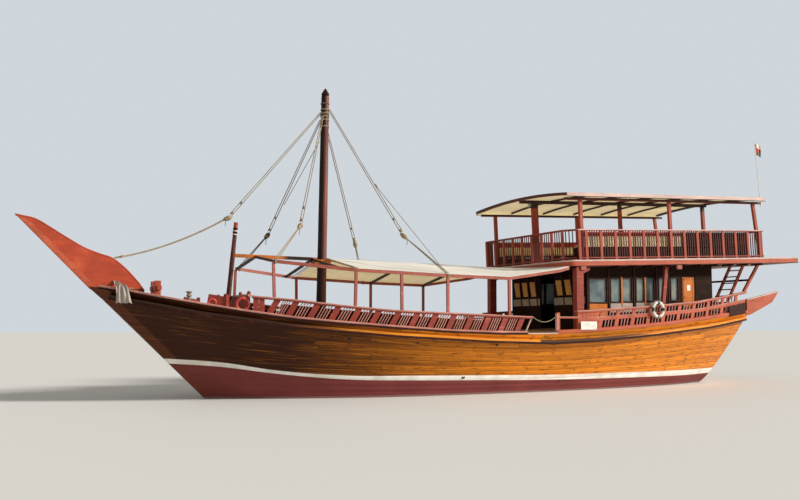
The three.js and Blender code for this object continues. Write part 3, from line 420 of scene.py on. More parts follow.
def add(name, parts, look, slot=None, body="boat", pick=None, corner=40, fields=None, planks=None):
    """One mesh of several parts at the origin that rides on a body, its faces turned outwards and its edges
    sharp above the corner angle. pick holds each face's finish, fields are numbers for each point, and
    planks the pairs of a UV map for each point."""
    offset, points, faces = 0, [], []
    for part_points, part_faces in parts:
        points.append(part_points)
        faces += [[corner_index + offset for corner_index in face] for face in part_faces]
        offset += len(part_points)
    mesh = bpy.data.meshes.new(name)
    mesh.from_pydata(np.concatenate(points).tolist(), [], faces)
    for each in [look] if isinstance(look, str) else look:
        mesh.materials.append(finish(each))
    piece = bpy.data.objects.new(name, mesh)
    bpy.context.scene.collection.objects.link(piece)
    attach(piece, body)
    if pick is not None:
        mesh.polygons.foreach_set("material_index", np.asarray(pick, np.int32))
    for field, values in (fields or {}).items():
        mesh.attributes.new(field, "FLOAT", "POINT").data.foreach_set("value", np.asarray(values, np.float32))
    if planks is not None:
        corners = np.zeros(len(mesh.loops), np.int32)
        mesh.loops.foreach_get("vertex_index", corners)
        pairs = np.asarray(planks, np.float32)[corners]
        mesh.uv_layers.new(name="planks").data.foreach_set("uv", pairs.ravel())
    work = bmesh.new()
    work.from_mesh(mesh)
    bmesh.ops.recalc_face_normals(work, faces=work.faces)
    work.to_mesh(mesh)
    work.free()
    mesh.shade_smooth()
    mesh.set_sharp_from_angle(angle=math.radians(corner))
    return piece


def build(name, groups, slot=None, body="boat", instead=(), **options):
    """One piece of several finishes: groups are pairs of a finish and its parts. It stands for the nodes in
    instead."""
    pick = [np.full(sum(len(faces) for _, faces in parts), k) for k, (_, parts) in enumerate(groups)]
    every = [part for _, parts in groups for part in parts]
    piece = add(name, every, [look for look, _ in groups], slot, body, np.concatenate(pick), **options)
    if instead:
        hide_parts(*instead)
    return piece


def cloth(name, grid, top, under, thick=0.004, **options):
    """Sheet of cloth over a grid of points, thickened downwards, with one finish above and one below."""
    points, faces = skin(grid)
    piece = add(name, [(points, faces)], [top, under], corner=180, **options)
    upward = sum(face.normal.z for face in piece.data.polygons) > 0
    if not upward:
        piece.data.flip_normals()
    wall = piece.modifiers.new("thickness", "SOLIDIFY")
    wall.thickness, wall.offset, wall.material_offset = thick, -1, 1
    return piece


def bored(piece, parts):
    """Cuts closed parts out of a piece and keeps the result as its mesh."""
    cutter = add("cutter", parts, "iron")
    change = piece.modifiers.new("cut", "BOOLEAN")
    change.object, change.operation, change.solver = cutter, "DIFFERENCE", "EXACT"
    bpy.context.view_layer.update()
    done = bpy.data.meshes.new_from_object(piece.evaluated_get(bpy.context.evaluated_depsgraph_get()))
    piece.modifiers.clear()
    piece.data = done
    bpy.data.objects.remove(cutter)
    return piece


# Shader sums
class Value:
    """A shader socket whose sums, differences, products and quotients become Math nodes."""

    def __init__(self, paint, socket):
        self.paint, self.socket = paint, socket

    def __add__(self, other):
        return self.paint.math("ADD", self, other)

    def __sub__(self, other):
        return self.paint.math("SUBTRACT", self, other)

    def __rsub__(self, other):
        return self.paint.math("SUBTRACT", other, self)

    def __mul__(self, other):
        return self.paint.math("MULTIPLY", self, other)

    def __truediv__(self, other):
        return self.paint.math("DIVIDE", self, other)

    __radd__ = __add__
    __rmul__ = __mul__


def tone(code):
    """Linear colour of a six-digit screen colour."""
    values = [int(code[k:k + 2], 16) / 255 for k in (0, 2, 4)]
    return tuple(v / 12.92 if v <= 0.04045 else ((v + 0.055) / 1.055) ** 2.4 for v in values) + (1.0,)


class Paint:
    """A material: steady numbers sit on the shader's own sockets, and patterns feed colour, roughness and
    bump."""

    def __init__(self, name, **steady):
        self.material = bpy.data.materials.new(name)
        self.material.use_nodes = True
        self.tree = self.material.node_tree
        self.shader = self.tree.nodes["Principled BSDF"]
        for socket, value in steady.items():
            self.shader.inputs[socket.replace("_", " ").title().replace("Ior", "IOR")].default_value = value
        self.place = self.node("TexCoord", output="Object")

    def node(self, kind, settings=None, sockets=None, output=0):
        """Adds one node: first its settings, then a number or a link for each socket."""
        made = self.tree.nodes.new("ShaderNode" + kind)
        for name, value in (settings or {}).items():
            if name == "stops":
                self.set_stops(made.color_ramp, value)
            else:
                setattr(made, name, value)
        for name, value in (sockets or {}).items():
            self.put(made.inputs[name], value)
        return Value(self, made.outputs[output])

    def put(self, socket, value):
        if isinstance(value, Value):
            self.tree.links.new(value.socket, socket)
        else:
            socket.default_value = value

    @staticmethod
    def set_stops(ramp, stops):
        while len(ramp.elements) < len(stops):
            ramp.elements.new(1)
        for element, (place, colour) in zip(ramp.elements, stops):
            element.position, element.color = place, colour

    def math(self, operation, *values):
        return self.node("Math", {"operation": operation}, dict(enumerate(values)))

    def part(self, vector, axis):
        return self.node("SeparateXYZ", None, {0: vector}, output=axis)

    def joined(self, x, y=0.0, z=0.0):
        return self.node("CombineXYZ", None, {0: x, 1: y, 2: z})

    def noise(self, scale, stretch=(1, 1, 1), detail=3.0, vector=None):
        """Noise over the object's own coordinates, stretched along each axis, or over a vector."""
        vector = vector or self.node("Mapping", None, {"Vector": self.place, "Scale": stretch})
        return self.node("TexNoise", None, {"Vector": vector, "Scale": scale, "Detail": detail})

    def chance(self, x, y=0.0):
        """One number from 0 to 1 for each pair of whole numbers."""
        return self.node("TexWhiteNoise", {"noise_dimensions": "2D"}, {"Vector": self.joined(x, y)}, "Value")

    def rise(self, value, low, high):
        """0 below low, 1 above high and a smooth rise between."""
        return self.node("MapRange", {"interpolation_type": "SMOOTHSTEP"},
                         {"Value": value, "From Min": low, "From Max": high})

    def ramp(self, value, *stops):
        return self.node("ValToRGB", {"stops": stops}, {0: value})

    def shaded(self, value, name, share, low=0.3, high=0.7):
        """Ramp from a darkened share of a colour to the colour itself."""
        return self.ramp(value, (low, shade(name, share)), (high, shade(name)))

    def blend(self, factor, first, second):
        return self.node("Mix", {"data_type": "RGBA"}, {0: factor, 6: first, 7: second}, output=2)

    def layers(self, base, *pairs):
        """Colours laid over a base in order, each by its own factor."""
        for factor, colour in pairs:
            base = self.blend(factor, base, colour)
        return base

    def cells(self, value):
        """The whole part of a value, and how far the rest is from the nearer whole number."""
        whole = self.math("FLOOR", value)
        rest = value - whole
        return whole, self.math("MINIMUM", rest, 1 - rest)

    def done(self, colour, roughness=None, height=None, depth=0.002, **others):
        """The material, once its patterns are on the shader's sockets."""
        if height is not None:
            height = self.node("Bump", None, {"Height": height, "Distance": depth}, "Normal")
        others.update(base_color=colour, roughness=roughness, normal=height)
        for socket, value in others.items():
            if value is not None:
                self.put(self.shader.inputs[socket.replace("_", " ").title()], value)
        return self.material


def shade(name, share=1.0):
    """A colour of the panel's settings, darkened to a share of itself, with full alpha."""
    return tuple(part * share for part in getattr(bpy.context.scene.dhow.paint, name)) + (1.0,)


def white_line(p):
    return p.ramp(p.noise(2.2, detail=5.0), (0.35, tone("dcd8cc")), (0.6, tone("f4f2ec")))


def hull_planking(name):
    """Varnished strakes: each plank has its own tone, streaks run along it, seams are dark, knots are small
    dark spots, and towards the bow the planks darken to a dark brown that is painted shade; below the white
    line the hull is painted, and the stem timber is paler."""
    p = Paint(name, coat_roughness=0.1, specular_ior_level=0.12)
    uv = p.node("UVMap", {"uv_map": "planks"})
    x, strake = p.part(uv, 0), p.part(uv, 1)
    row, from_seam = p.cells(strake)
    plank, from_butt = p.cells((x + p.chance(row) * 5) / 4.7)
    seam, butt = 1 - p.rise(from_seam, 0.015, 0.06), 1 - p.rise(from_butt, 0.001, 0.004)
    own = p.chance(row, plank)
    streak = p.noise(1.0, detail=5.0, vector=p.joined(x * 0.7, strake * 5 + own * 30, own * 9))
    fine = p.noise(1.0, vector=p.joined(x * 2.5, strake * 22, own * 20))
    wood = p.ramp(own * 0.25 + streak * 0.75 + fine * 0.4 - 0.22, (0.1, shade("varnish", 0.3)),
                  (0.4, shade("varnish", 0.72)), (0.62, shade("varnish")), (0.9, shade("varnish_light")))
    spots = p.node("TexVoronoi", None, {"Vector": p.joined(x * 4, strake), "Scale": 0.42})
    smudge = p.rise(p.noise(1.0, detail=5.0, vector=p.joined(x * 3.2, strake * 1.9, 4.0)), 0.55, 0.66)
    # fore: 1 forward of about x -8 m, 0 abaft about x 4 m; it lays the bow brown over the planks as painted
    # shade, and thins the clear coat there
    fore = 1 - p.rise(x + streak * 3.0, -8.0, 4.0)
    level = p.node("Attribute", {"attribute_name": "line"}, output="Fac")
    stem = 1 - p.rise(p.node("Attribute", {"attribute_name": "stem"}, output="Fac"), 0.3, 0.33)
    wood = p.layers(
        wood,
        ((1 - p.rise(spots, 0.03, 0.11)) * 0.75, shade("varnish", 0.12)),
        (smudge * 0.7, shade("varnish", 0.3)),
        (fore * (1.12 - p.rise(streak, 0.5, 0.75) * 0.35), shade("bow_brown")),
        (p.math("MAXIMUM", seam * 0.6, butt * 0.5), shade("varnish", 0.06)),
        (stem * 0.75, p.shaded(streak, "stem_brown", 0.6)))
    cloud = p.noise(0.9, detail=4.0)
    wet = 1 - p.rise(p.part(p.place, 2) + cloud * 0.04, 0.05, 0.1)
    bottom = p.layers(
        p.shaded(cloud, "bottom", 0.75),
        (stem * 0.4, shade("stem_brown")),
        (wet * 0.45, tone("a89a90")),
        (seam * 0.25, shade("bottom", 0.4)))
    above = p.rise(level, 0.96, 1.04)
    colour = p.layers(bottom, (p.rise(level, -0.04, 0.04), white_line(p)), (above, wood))
    return p.done(colour, roughness=0.5 - above * 0.26 + fine * 0.12, height=fine * 0.5 + streak * 0.5,
                  depth=0.0015, coat_weight=above * (0.2 - fore * 0.17))


LENGTHWISE, UPRIGHT = (0.6, 6, 6), (6, 6, 0.5)


def painted_timber(name, main, worn, gloss=0.42, grain=LENGTHWISE, shine=0.3):
    """Painted timber: cloudy tones, thin brush streaks along the grain, and small worn spots in the paler
    tone."""
    p = Paint(name, coat_weight=0.2 * shine, coat_roughness=0.3, specular_ior_level=shine)
    streak, fine = p.noise(3.0, stretch=grain, detail=5.0), p.noise(24.0, stretch=grain)
    base = p.ramp(p.noise(1.7, detail=4.0) * 0.5 + streak * 0.5,
                  (0.3, shade(main, 0.62)), (0.55, shade(main)), (0.78, shade(worn)))
    spots = p.rise(p.noise(11.0, detail=6.0), 0.64, 0.72)
    return p.done(p.blend(spots * 0.5, base, shade(worn)), roughness=gloss + fine * 0.2,
                  height=streak * 0.6 + fine * 0.4, depth=0.0016)


def rudder_planks(name):
    """Rudder: the hull's bottom paint, white band and varnish at the same heights, with streaks down the
    blade."""
    p = Paint(name, specular_ior_level=0.3)
    streak = p.noise(2.0, stretch=UPRIGHT, detail=5.0)
    height = p.part(p.place, 2)
    colour = p.layers(
        p.shaded(streak, "bottom", 0.7),
        (p.rise(height, 0.355, 0.365), white_line(p)),
        (p.rise(height, 0.535, 0.545), p.shaded(streak, "varnish", 0.5, high=0.6)))
    return p.done(colour, roughness=0.35 + streak * 0.2, height=streak, depth=0.0015)


def rub_varnish(name):
    """Varnished strake: bright brown aft that darkens forward as painted shade at the bow, with long streaks
    and a dark stretch abaft the gangway."""
    p = Paint(name, coat_weight=0.15, coat_roughness=0.15, specular_ior_level=0.3)
    streak = p.noise(2.0, stretch=(0.4, 6, 14), detail=5.0)
    x = p.part(p.place, 0)
    # aft: 0 at the bow, where the strake is painted dark as shade, rising to 1 aft
    aft = p.rise(x, -7.5, -3.5)
    # Darker stretch of the strake from abaft the gangway to about x 5.5 m
    dark_stretch = p.rise(x, 0.4, 0.5) * (1 - p.rise(x + streak * 2.0, 4.5, 6.5))
    base = p.layers(
        p.blend(aft, shade("bow_brown", 0.8), shade("varnish", 0.85)),
        (p.rise(streak, 0.45, 0.75) * aft * 0.6, shade("varnish_light")),
        (dark_stretch * 0.95, shade("bow_brown")))
    return p.done(base, roughness=0.32 + streak * 0.2, height=streak, depth=0.0015)


def mast_paint(name):
    """Mast: dark brown on one side as painted shade and pink on the other as painted sunlight, with streaks
    up the pole. The side comes from how far a point lies abaft and to starboard of the leaning centre line."""
    p = Paint(name, specular_ior_level=0.3)
    streak = p.noise(2.6, stretch=(6, 6, 0.35), detail=5.0)
    patch = p.noise(1.3, stretch=(3, 3, 0.8), detail=4.0)
    abaft = p.part(p.place, 0) - p.part(p.place, 2) * 0.0141 + 5.468
    # side: 1 on the lit side, where the pale pink is laid as painted sunlight, 0 on the side in painted shade
    side = p.rise(abaft * 0.9 - p.part(p.place, 1) * 0.44 + streak * 0.12 - 0.06, -0.03, 0.09)
    colour = p.blend(side * 0.8, p.shaded(streak, "mast", 0.45), p.shaded(patch, "mast_light", 0.7, low=0.35))
    return p.done(colour, roughness=0.42 + streak * 0.2, height=streak, depth=0.002)


def canopy_timber(name):
    """Canopy frame: brick red posts whose timbers turn dark above the height of the beams."""
    p = Paint(name, specular_ior_level=0.3)
    streak = p.noise(3.0, stretch=(6, 6, 0.6), detail=5.0)
    high = p.rise(p.part(p.place, 2) - p.part(p.place, 0) * UPPER_SLOPE, 5.84, 5.9)
    red = p.ramp(streak, (0.3, shade("post", 0.6)), (0.6, shade("post")), (0.8, shade("rail_worn")))
    return p.done(p.blend(high, red, p.shaded(streak, "beam_dark", 0.6)), roughness=0.38 + streak * 0.2,
                  height=streak, depth=0.0016)


def deck_planks(name):
    """Deck planks along the boat: seams at equal distances across, a tone for each plank, fine grain along
    it."""
    p = Paint(name)
    row, from_seam = p.cells(p.part(p.place, 1) / 0.14)
    seam = 1 - p.rise(from_seam, 0.02, 0.06)
    streak = p.noise(2.2, stretch=(0.5, 9, 9), detail=5.0)
    base = p.ramp(p.chance(row) * 0.35 + streak * 0.65, (0.25, shade("deck", 0.6)), (0.5, shade("deck")),
                  (0.8, shade("deck", 1.35)))
    return p.done(p.blend(seam * 0.85, base, tone("1d1713")), roughness=0.55 + streak * 0.25,
                  height=streak - seam, depth=0.003)


def woven_cloth(name, main, seam_every=0.0, painted_glow=0.0, sheen=0.2):
    """Woven cloth: fine crossed threads in the bump, soft stains, and a sewn seam at equal distances along
    the boat. A glow, when asked for, makes the cloth give off light in its own colour, as painted light for
    the light that comes through it."""
    p = Paint(name, sheen_weight=sheen, sheen_roughness=0.5, emission_strength=painted_glow)
    x = p.part(p.place, 0)
    threads = (p.math("SINE", x * 900) + p.math("SINE", p.part(p.place, 1) * 900)) * 0.25
    fine = p.noise(30.0)
    base = p.shaded(p.noise(0.8, detail=5.0) * 0.8 + fine * 0.2, main, 0.8, high=0.6)
    height = threads * 0.2 + fine * 0.5
    if seam_every:
        seam = 1 - p.rise(p.cells(x / seam_every)[1] * seam_every, 0.006, 0.014)
        base = p.blend(seam * 0.3, base, shade(main, 0.55))
        height = height - seam
    return p.done(base, roughness=0.8 + fine * 0.15, height=height, depth=0.0015, emission_color=base)


def laid_fibre(name):
    """Rope: fibres in the bump and tones that change along it."""
    p = Paint(name)
    fibre = p.noise(90.0)
    base = p.shaded(p.noise(3.0, detail=4.0) * 0.6 + fibre * 0.4, name, 0.55, high=0.65)
    return p.done(base, roughness=0.85 + fibre * 0.1, height=fibre, depth=0.002)


def ridge_timber(name):
    """Ridge and rafters of the awning: orange at the fore end and at the mast, dark brown between and
    outboard as painted shade under the awning."""
    p = Paint(name, specular_ior_level=0.3)
    x, y = p.part(p.place, 0), p.math("ABSOLUTE", p.part(p.place, 1))
    streak = p.noise(3.0, stretch=(0.6, 0.6, 6), detail=5.0)
    fore = (1 - p.rise(x + streak * 0.4, -6.5, -6.3)) * (1 - p.rise(y, 0.07, 0.1))
    cheek = p.rise(x, -5.72, -5.7) * (1 - p.rise(x, -5.2, -5.18))
    # dark: the painted shade under the awning's cloth
    dark, orange = p.shaded(streak, "beam_dark", 0.6), p.shaded(streak, "door", 0.6)
    colour = p.blend(p.math("MAXIMUM", fore, cheek), dark, orange)
    return p.done(colour, roughness=0.38 + streak * 0.2, height=streak, depth=0.0016)


def metal(name, roughness, metallic):
    """Metal with faint cloudy tarnish in its colour and gloss."""
    p = Paint(name, metallic=metallic)
    cloud = p.noise(9.0, detail=5.0)
    return p.done(p.shaded(cloud, name, 0.6, 0.35, 0.65), roughness=roughness + cloud * 0.25,
                  height=p.noise(40.0), depth=0.0008)


def gloss_white(name):
    """White gloss paint with faint yellowing."""
    p = Paint(name, coat_weight=0.3, coat_roughness=0.1)
    base = p.ramp(p.noise(5.0, detail=4.0), (0.35, tone("d5d0c4")), (0.6, tone("efede7")))
    return p.done(base, roughness=0.35 + p.noise(30.0) * 0.1, height=p.noise(60.0), depth=0.0004)


def buoy_cloth(name):
    """Lifebuoy: white with four bands, whose edges come from the turn round the ring."""
    p = Paint(name, coat_weight=0.2, coat_roughness=0.2)
    turn = p.part(p.node("UVMap", {"uv_map": "planks"}), 0) * 4
    band = p.rise(p.math("ABSOLUTE", turn - p.math("FLOOR", turn) - 0.5), 0.33, 0.34)
    base = p.blend(band, p.ramp(p.noise(9.0), (0.3, tone("d8d3c6")), (0.7, tone("f0ede4"))), tone("2c2f3a"))
    return p.done(base, roughness=0.5 + p.noise(20.0) * 0.15, height=band + p.noise(60.0) * 0.2, depth=0.0015)


def red_ring(name):
    """Red foam ring with paler scuffs."""
    p = Paint(name, coat_weight=0.2, coat_roughness=0.3)
    scuff = p.rise(p.noise(14.0, detail=5.0), 0.58, 0.7)
    red = p.ramp(p.noise(4.0), (0.3, tone("93231c")), (0.7, tone("c23a2a")))
    base = p.blend(scuff * 0.4, red, tone("d98a76"))
    return p.done(base, roughness=0.5 + p.noise(24.0) * 0.2, height=p.noise(40.0), depth=0.001)


def flag_stripes(name):
    """Bunting in four plain fields: an upright band by the staff and three level bands."""
    p = Paint(name, sheen_weight=0.3)
    uv = p.node("UVMap", {"uv_map": "planks"})
    across, up = p.part(uv, 0), p.part(uv, 1)
    fly = p.layers(tone("35774a"), (p.rise(up, 0.335, 0.345), tone("b5362e")),
                   (p.rise(up, 0.655, 0.665), tone("e6e2da")))
    base = p.blend(p.rise(across, 0.245, 0.255), tone("b5362e"), fly)
    return p.done(base, roughness=0.8 + p.noise(20.0) * 0.1, height=p.noise(120.0), depth=0.0008)


def window_glass(name):
    """Tinted glass with a faint film of salt in its gloss."""
    p = Paint(name, transmission_weight=0.4, ior=1.45)
    film = p.noise(1.4, detail=4.0)
    tint = p.ramp(film, (0.36, tone("56686c")), (0.5, tone("8b9ea2")), (0.64, tone("b4b8aa")))
    return p.done(tint, roughness=0.03 + film * 0.08)


# Each finish: its maker, and for painted timber its colour, worn colour, roughness, grain and shine
FINISHES = {
    "hull_planking": (hull_planking,),
    "prow_paint": (painted_timber, "prow", "prow_light", 0.38, (0.5, 5, 2)),
    "red_timber": (painted_timber, "rail_red", "rail_worn"),
    "pale_trim": (painted_timber, "trim_pink", "trim_pale", 0.5),
    "beam_timber": (painted_timber, "beam", "beam_light", 0.34),
    "pink_beam": (painted_timber, "beam_pink", "trim_pink", 0.45),
    "dark_beam": (painted_timber, "beam_dark", "stem_brown", 0.5, LENGTHWISE, 0.12),
    "orange_panel": (painted_timber, "door", "beam_light", 0.3, UPRIGHT),
    "mast_timber": (painted_timber, "mast", "mast_light", 0.4, (6, 6, 0.4)),
    "post_timber": (painted_timber, "rail_dark", "post", 0.42, UPRIGHT),
    "cabin_timber": (painted_timber, "cabin", "cabin_light", 0.6, LENGTHWISE, 0.08),
    "door_timber": (painted_timber, "door", "beam_light", 0.28, UPRIGHT),
    "baluster_timber": (painted_timber, "rail_dark", "rail_red", 0.4),
    "fascia": (painted_timber, "fascia", "rail_worn", 0.36),
    "upper_post": (painted_timber, "post", "rail_worn", 0.4, UPRIGHT),
    "bench_back": (painted_timber, "bench_light", "bench_light", 0.5),
    "grey_paint": (painted_timber, "sill", "trim_pale", 0.5),
    "amber": (painted_timber, "amber", "bench_light", 0.3),
    "block_wood": (painted_timber, "rope", "trim_pale", 0.6),
    "cap_paint": (painted_timber, "cap", "cap", 0.5),
    "red_band": (painted_timber, "band", "rail_worn", 0.45),
    "stem_timber": (painted_timber, "stem_brown", "mast_light", 0.4),
    "canopy_timber": (canopy_timber,),
    "ridge_timber": (ridge_timber,),
    "mast_paint": (mast_paint,),
    "rub_varnish": (rub_varnish,),
    "rudder_planks": (rudder_planks,),
    "deck_planks": (deck_planks,),
    "canvas": (woven_cloth, "canvas", 1.4),
    # Undersides of the awning and canopy: a warm tone that glows, as painted light for the sun through the
    # cloth
    "lining": (woven_cloth, "canopy", 1.0, 0.5),
    "cushion": (woven_cloth, "cushion", 0.0, 0.0, 0.4),
    "grey_cloth": (woven_cloth, "sill"),
    "flag_cloth": (flag_stripes,),
    "rope": (laid_fibre,),
    "old_rope": (laid_fibre,),
    "iron": (metal, 0.5, 0.6),
    "bronze": (metal, 0.3, 0.95),
    "white_paint": (gloss_white,),
    "glass": (window_glass,),
    "buoy": (buoy_cloth,),
    "red_ring": (red_ring,),
}
MADE = {}


def finish(name):
    """A finish by name, made the first time that it is asked for."""
    if name not in MADE:
        maker, *details = FINISHES[name]
        MADE[name] = maker(name, *details)
    return MADE[name]


def hull_skin(settings):
    """Closed hull: at each station a ring from keel to deck edge on both sides. The bottom is a quadratic
    curve from the deadwood to the waterline, the topside leans out by height ** flare, and each seam
    between strakes is a small groove. Every point slides along the boat with the rake of the stem and the
    transom."""
    xs = np.linspace(STATIONS[0, 0], STATIONS[-1, 0], settings.stations)
    z, edge, water, root, flare = smooth_rows(STATIONS, xs).T
    edge[[0, -1]], water[[0, -1]] = STATIONS[[0, -1], 2], STATIONS[[0, -1], 3]
    fore_x = lambda h: -WATERLINE_HALF - STEM_RAKE * h
    aft_x = lambda h: WATERLINE_HALF + TRANSOM_RAKE * h
    u = (xs - fore_x(z)) / (aft_x(z) - fore_x(z))
    keel = KEEL_FORE + (KEEL_AFT - KEEL_FORE) * u
    bilge_z = 0.6 * root
    bilge = np.maximum(KEEL_HALF, water + (edge - water) / z * bilge_z)
    columns = [(np.full_like(xs, KEEL_HALF), keel, -8.0), (np.full_like(xs, KEEL_HALF), root, -6.0)]
    for t in np.linspace(0, 1, 10)[1:]:
        y = (1 - t) ** 2 * KEEL_HALF + 2 * t * (1 - t) * bilge + t * t * water
        columns.append((y, (1 - t) ** 2 * root + 2 * t * (1 - t) * bilge_z, 5 * (t - 1)))
    half = settings.seam_width / 2 / STRAKE_WIDTH
    for strake in range(settings.strakes):
        for share, depth in ((half, 0), (0.5, 0), (1 - half, 0), (1, settings.seam_depth)):
            if strake == settings.strakes - 1 and share == 1:
                depth = 0
            t = (strake + share) / settings.strakes
            columns.append((water + (edge - water) * t ** flare - depth, z * t, strake + share))
    deck = [(edge * share, z + DECK_CAMBER * edge / WIDEST * (1 - abs(share)), 20.0)
            for share in (0.66, 0.33, 0.0, -0.33, -0.66)]
    ring = columns + deck + [(-y, h, v) for y, h, v in reversed(columns)]
    heights = np.stack([h for _, h, _ in ring], 1)
    grid = np.stack([fore_x(heights) + (aft_x(heights) - fore_x(heights)) * u[:, None],
                     np.stack([y for y, _, _ in ring], 1), heights], -1)
    points, faces = skin(grid, around=True)
    strakes = np.broadcast_to([v for _, _, v in ring], heights.shape).ravel()
    low, high = smooth_rows(PAINT_LINE, np.clip(points[:, 0], *PAINT_LINE[[0, -1], 0])).T
    first = len(columns) - 1
    across = np.arange(len(ring))
    on_deck = (across >= first) & (across <= first + len(deck))
    pick = np.zeros(len(faces), int)
    pick[:(len(xs) - 1) * len(ring)] = np.tile(on_deck, len(xs) - 1)
    fields = {"line": (points[:, 2] - low) / (high - low), "stem": points[:, 0] - fore_x(points[:, 2])}
    piece = add("hull_planks", [(points, faces)], ["hull_planking", "deck_planks"], "hull_planking",
                pick=pick, fields=fields, planks=np.column_stack([points[:, 0], strakes]))
    shaft = turned([(SHAFT_BORE, -0.4), (SHAFT_BORE, 0.01)], SHAFT_END, (1, 0, 0), 24)
    bored(piece, [plate(APERTURE, -0.4, 0.4), shaft])
    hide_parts("hull")
    return piece


def gunwale_pieces():
    """Pink moulding along the bow's deck edge over a dark strake painted as its shadow, with its washboard
    and end post."""
    for side, name in SIDES:
        pale_foot, shadow_strake = foot_mouldings(side, -11.8, -8.14)
        build(f"gunwale_moulding_{name}", [
            ("pale_trim", [pale_foot]),
            # Dark strake under the moulding: painted shadow
            ("dark_beam", [shadow_strake]),
            ("red_timber", [side_bar(side, -9.2, -8.7, height_of(STATIONS, 0.33), 0.05, 0.3),
                            rail_post(side, -8.72, 0.09, 2.86, 0.004)]),
        ], "red_timber", instead=[f"gunwale_{name}"])


def fore_bulwark(side, name):
    """Slanted boards with four thin balusters between each pair, under a pale cap and over a pale foot
    moulding, and a bench behind them, painted near black as the shade seen through the gaps."""
    low, high = height_of(STATIONS, 0.05), height_of(FORE_CAP, -0.045)
    pale_foot, shadow_strake = foot_mouldings(side, -8.14, 0.02)
    build(f"fore_bulwark_boards_{name}", [
        ("red_timber", [
            rail_boards(side, FORE_FEET, FORE_LEAN, low, high, 0.19, 0.045),
            rail_boards(side, [-8.0, -7.85], 0.0, low, high, 0.148, 0.04)]),
        ("pale_trim", [
            rail_boards(side, between(FORE_FEET, 0.19, 4), FORE_LEAN, low, high, 0.03, 0.03),
            pale_foot,
            side_bar(side, *FORE_RUN, height_of(FORE_CAP), 0.14, 0.045, 0.0, 0.014)]),
        ("cap_paint", [rail_boards(side, [-0.01], 0.22, low, high, 0.03, 0.06)]),
        ("red_timber", [side_bar(side, *FORE_RUN, high, 0.1, 0.03)]),
        # Dark strake under the moulding: painted shadow
        ("dark_beam", [shadow_strake]),
    ], "red_timber", instead=[f"fore_bulwark_{name}"])
    # Seat, back and front board of the bench: top over the deck's edge, width, height, place outwards
    bench = ((0.36, 0.18, 0.035, -0.15), (0.38, 0.02, 0.34, -0.07), (0.33, 0.02, 0.3, -0.23))
    # The bench's near-black paint stands for the shade seen through the bulwark's gaps
    build(f"fore_bench_{name}", [
        ("dark_beam", [side_bar(side, *FORE_BENCH, height_of(STATIONS, top), wide, tall, out)
                       for top, wide, tall, out in bench]),
    ], "red_timber")


def aft_bulwark(side, name):
    """Two tiers of boards and balusters, a middle band, a pale cap, and a solid panel by the gangway."""
    low, high = height_of(STATIONS, 0.07), height_of(AFT_CAP, -0.045)
    build(f"aft_bulwark_boards_{name}", [
        # The boards take the brighter fascia salmon instead of the rail red, as painted sunlight on this side
        ("fascia", [
            rail_boards(side, AFT_FEET, AFT_LEAN, low, high, 0.16, 0.04),
            rail_boards(side, np.arange(2.02, 2.72, 0.15), 0.0, low, high, 0.147, 0.04),
            side_bar(side, *AFT_RUN, height_of(AFT_MIDDLE), 0.052, 0.11, 0.0, 0.01),
            side_bar(side, BY_GANGWAY[0], AFT_RUN[1], height_of(STATIONS, 0.1), 0.15, 0.11, 0.015, 0.014),
            side_bar(side, *BY_GANGWAY, lambda x: 2.27, 0.1, 0.03),
            side_bar(side, *AFT_RUN, high, 0.1, 0.035),
            rail_post(side, 1.17, 0.1, 2.42),
            rail_post(side, 1.93, 0.08, 2.44)]),
        ("cap_paint", [
            side_bar(side, 0.04, BY_GANGWAY[0], height_of(STATIONS, 0.024), 0.12, 0.035, 0.025),
            rail_boards(side, [1.126], 0.0, height_of(STATIONS, 0.05), lambda x: 2.38, 0.025, 0.11)]),
        ("pale_trim", [
            rail_boards(side, between(AFT_FEET, 0.16, 3), AFT_LEAN, low, high, 0.034, 0.03),
            side_bar(side, *AFT_RUN, height_of(AFT_MIDDLE, 0.012), 0.07, 0.024),
            side_bar(side, *BY_GANGWAY, lambda x: 2.3, 0.12, 0.035, 0.0, 0.012),
            side_bar(side, 1.88, 9.92, height_of(AFT_CAP), 0.14, 0.045, 0.0, 0.014)]),
    ], "red_timber", instead=[f"aft_bulwark_{name}"])


def breakwater():
    """Upright boards across the foredeck under a rounded grey-pink rail with four turned heads."""
    ys = (np.arange(15) - 7) * 0.225
    row = lambda z: np.stack([np.full(15, BREAKWATER_X), ys, z + 0 * ys], -1)
    feet, tops = row(2.3 + 0.06 * (1 - (ys / 1.86) ** 2)), row(2.81)
    knob = [(0.03, -0.02), (0.03, 0.03), (0.05, 0.06), (0.05, 0.1), (0.02, 0.13)]
    heads = [turned(knob, (BREAKWATER_X, y, 2.83)) for y in (-1.58, -0.79, 0.79, 1.58)]
    rail = [(BREAKWATER_X, y, 2.8425) for y in (-1.68, 0, 1.68)]
    build("breakwater_boards", [
        ("red_timber", [uprights(feet, tops, (0, 1, 0), 0.19, 0.035)] + heads),
        ("pale_trim", [bar(rail, 0.095, 0.075, 0.02)]),
    ], "red_timber", instead=["breakwater"])


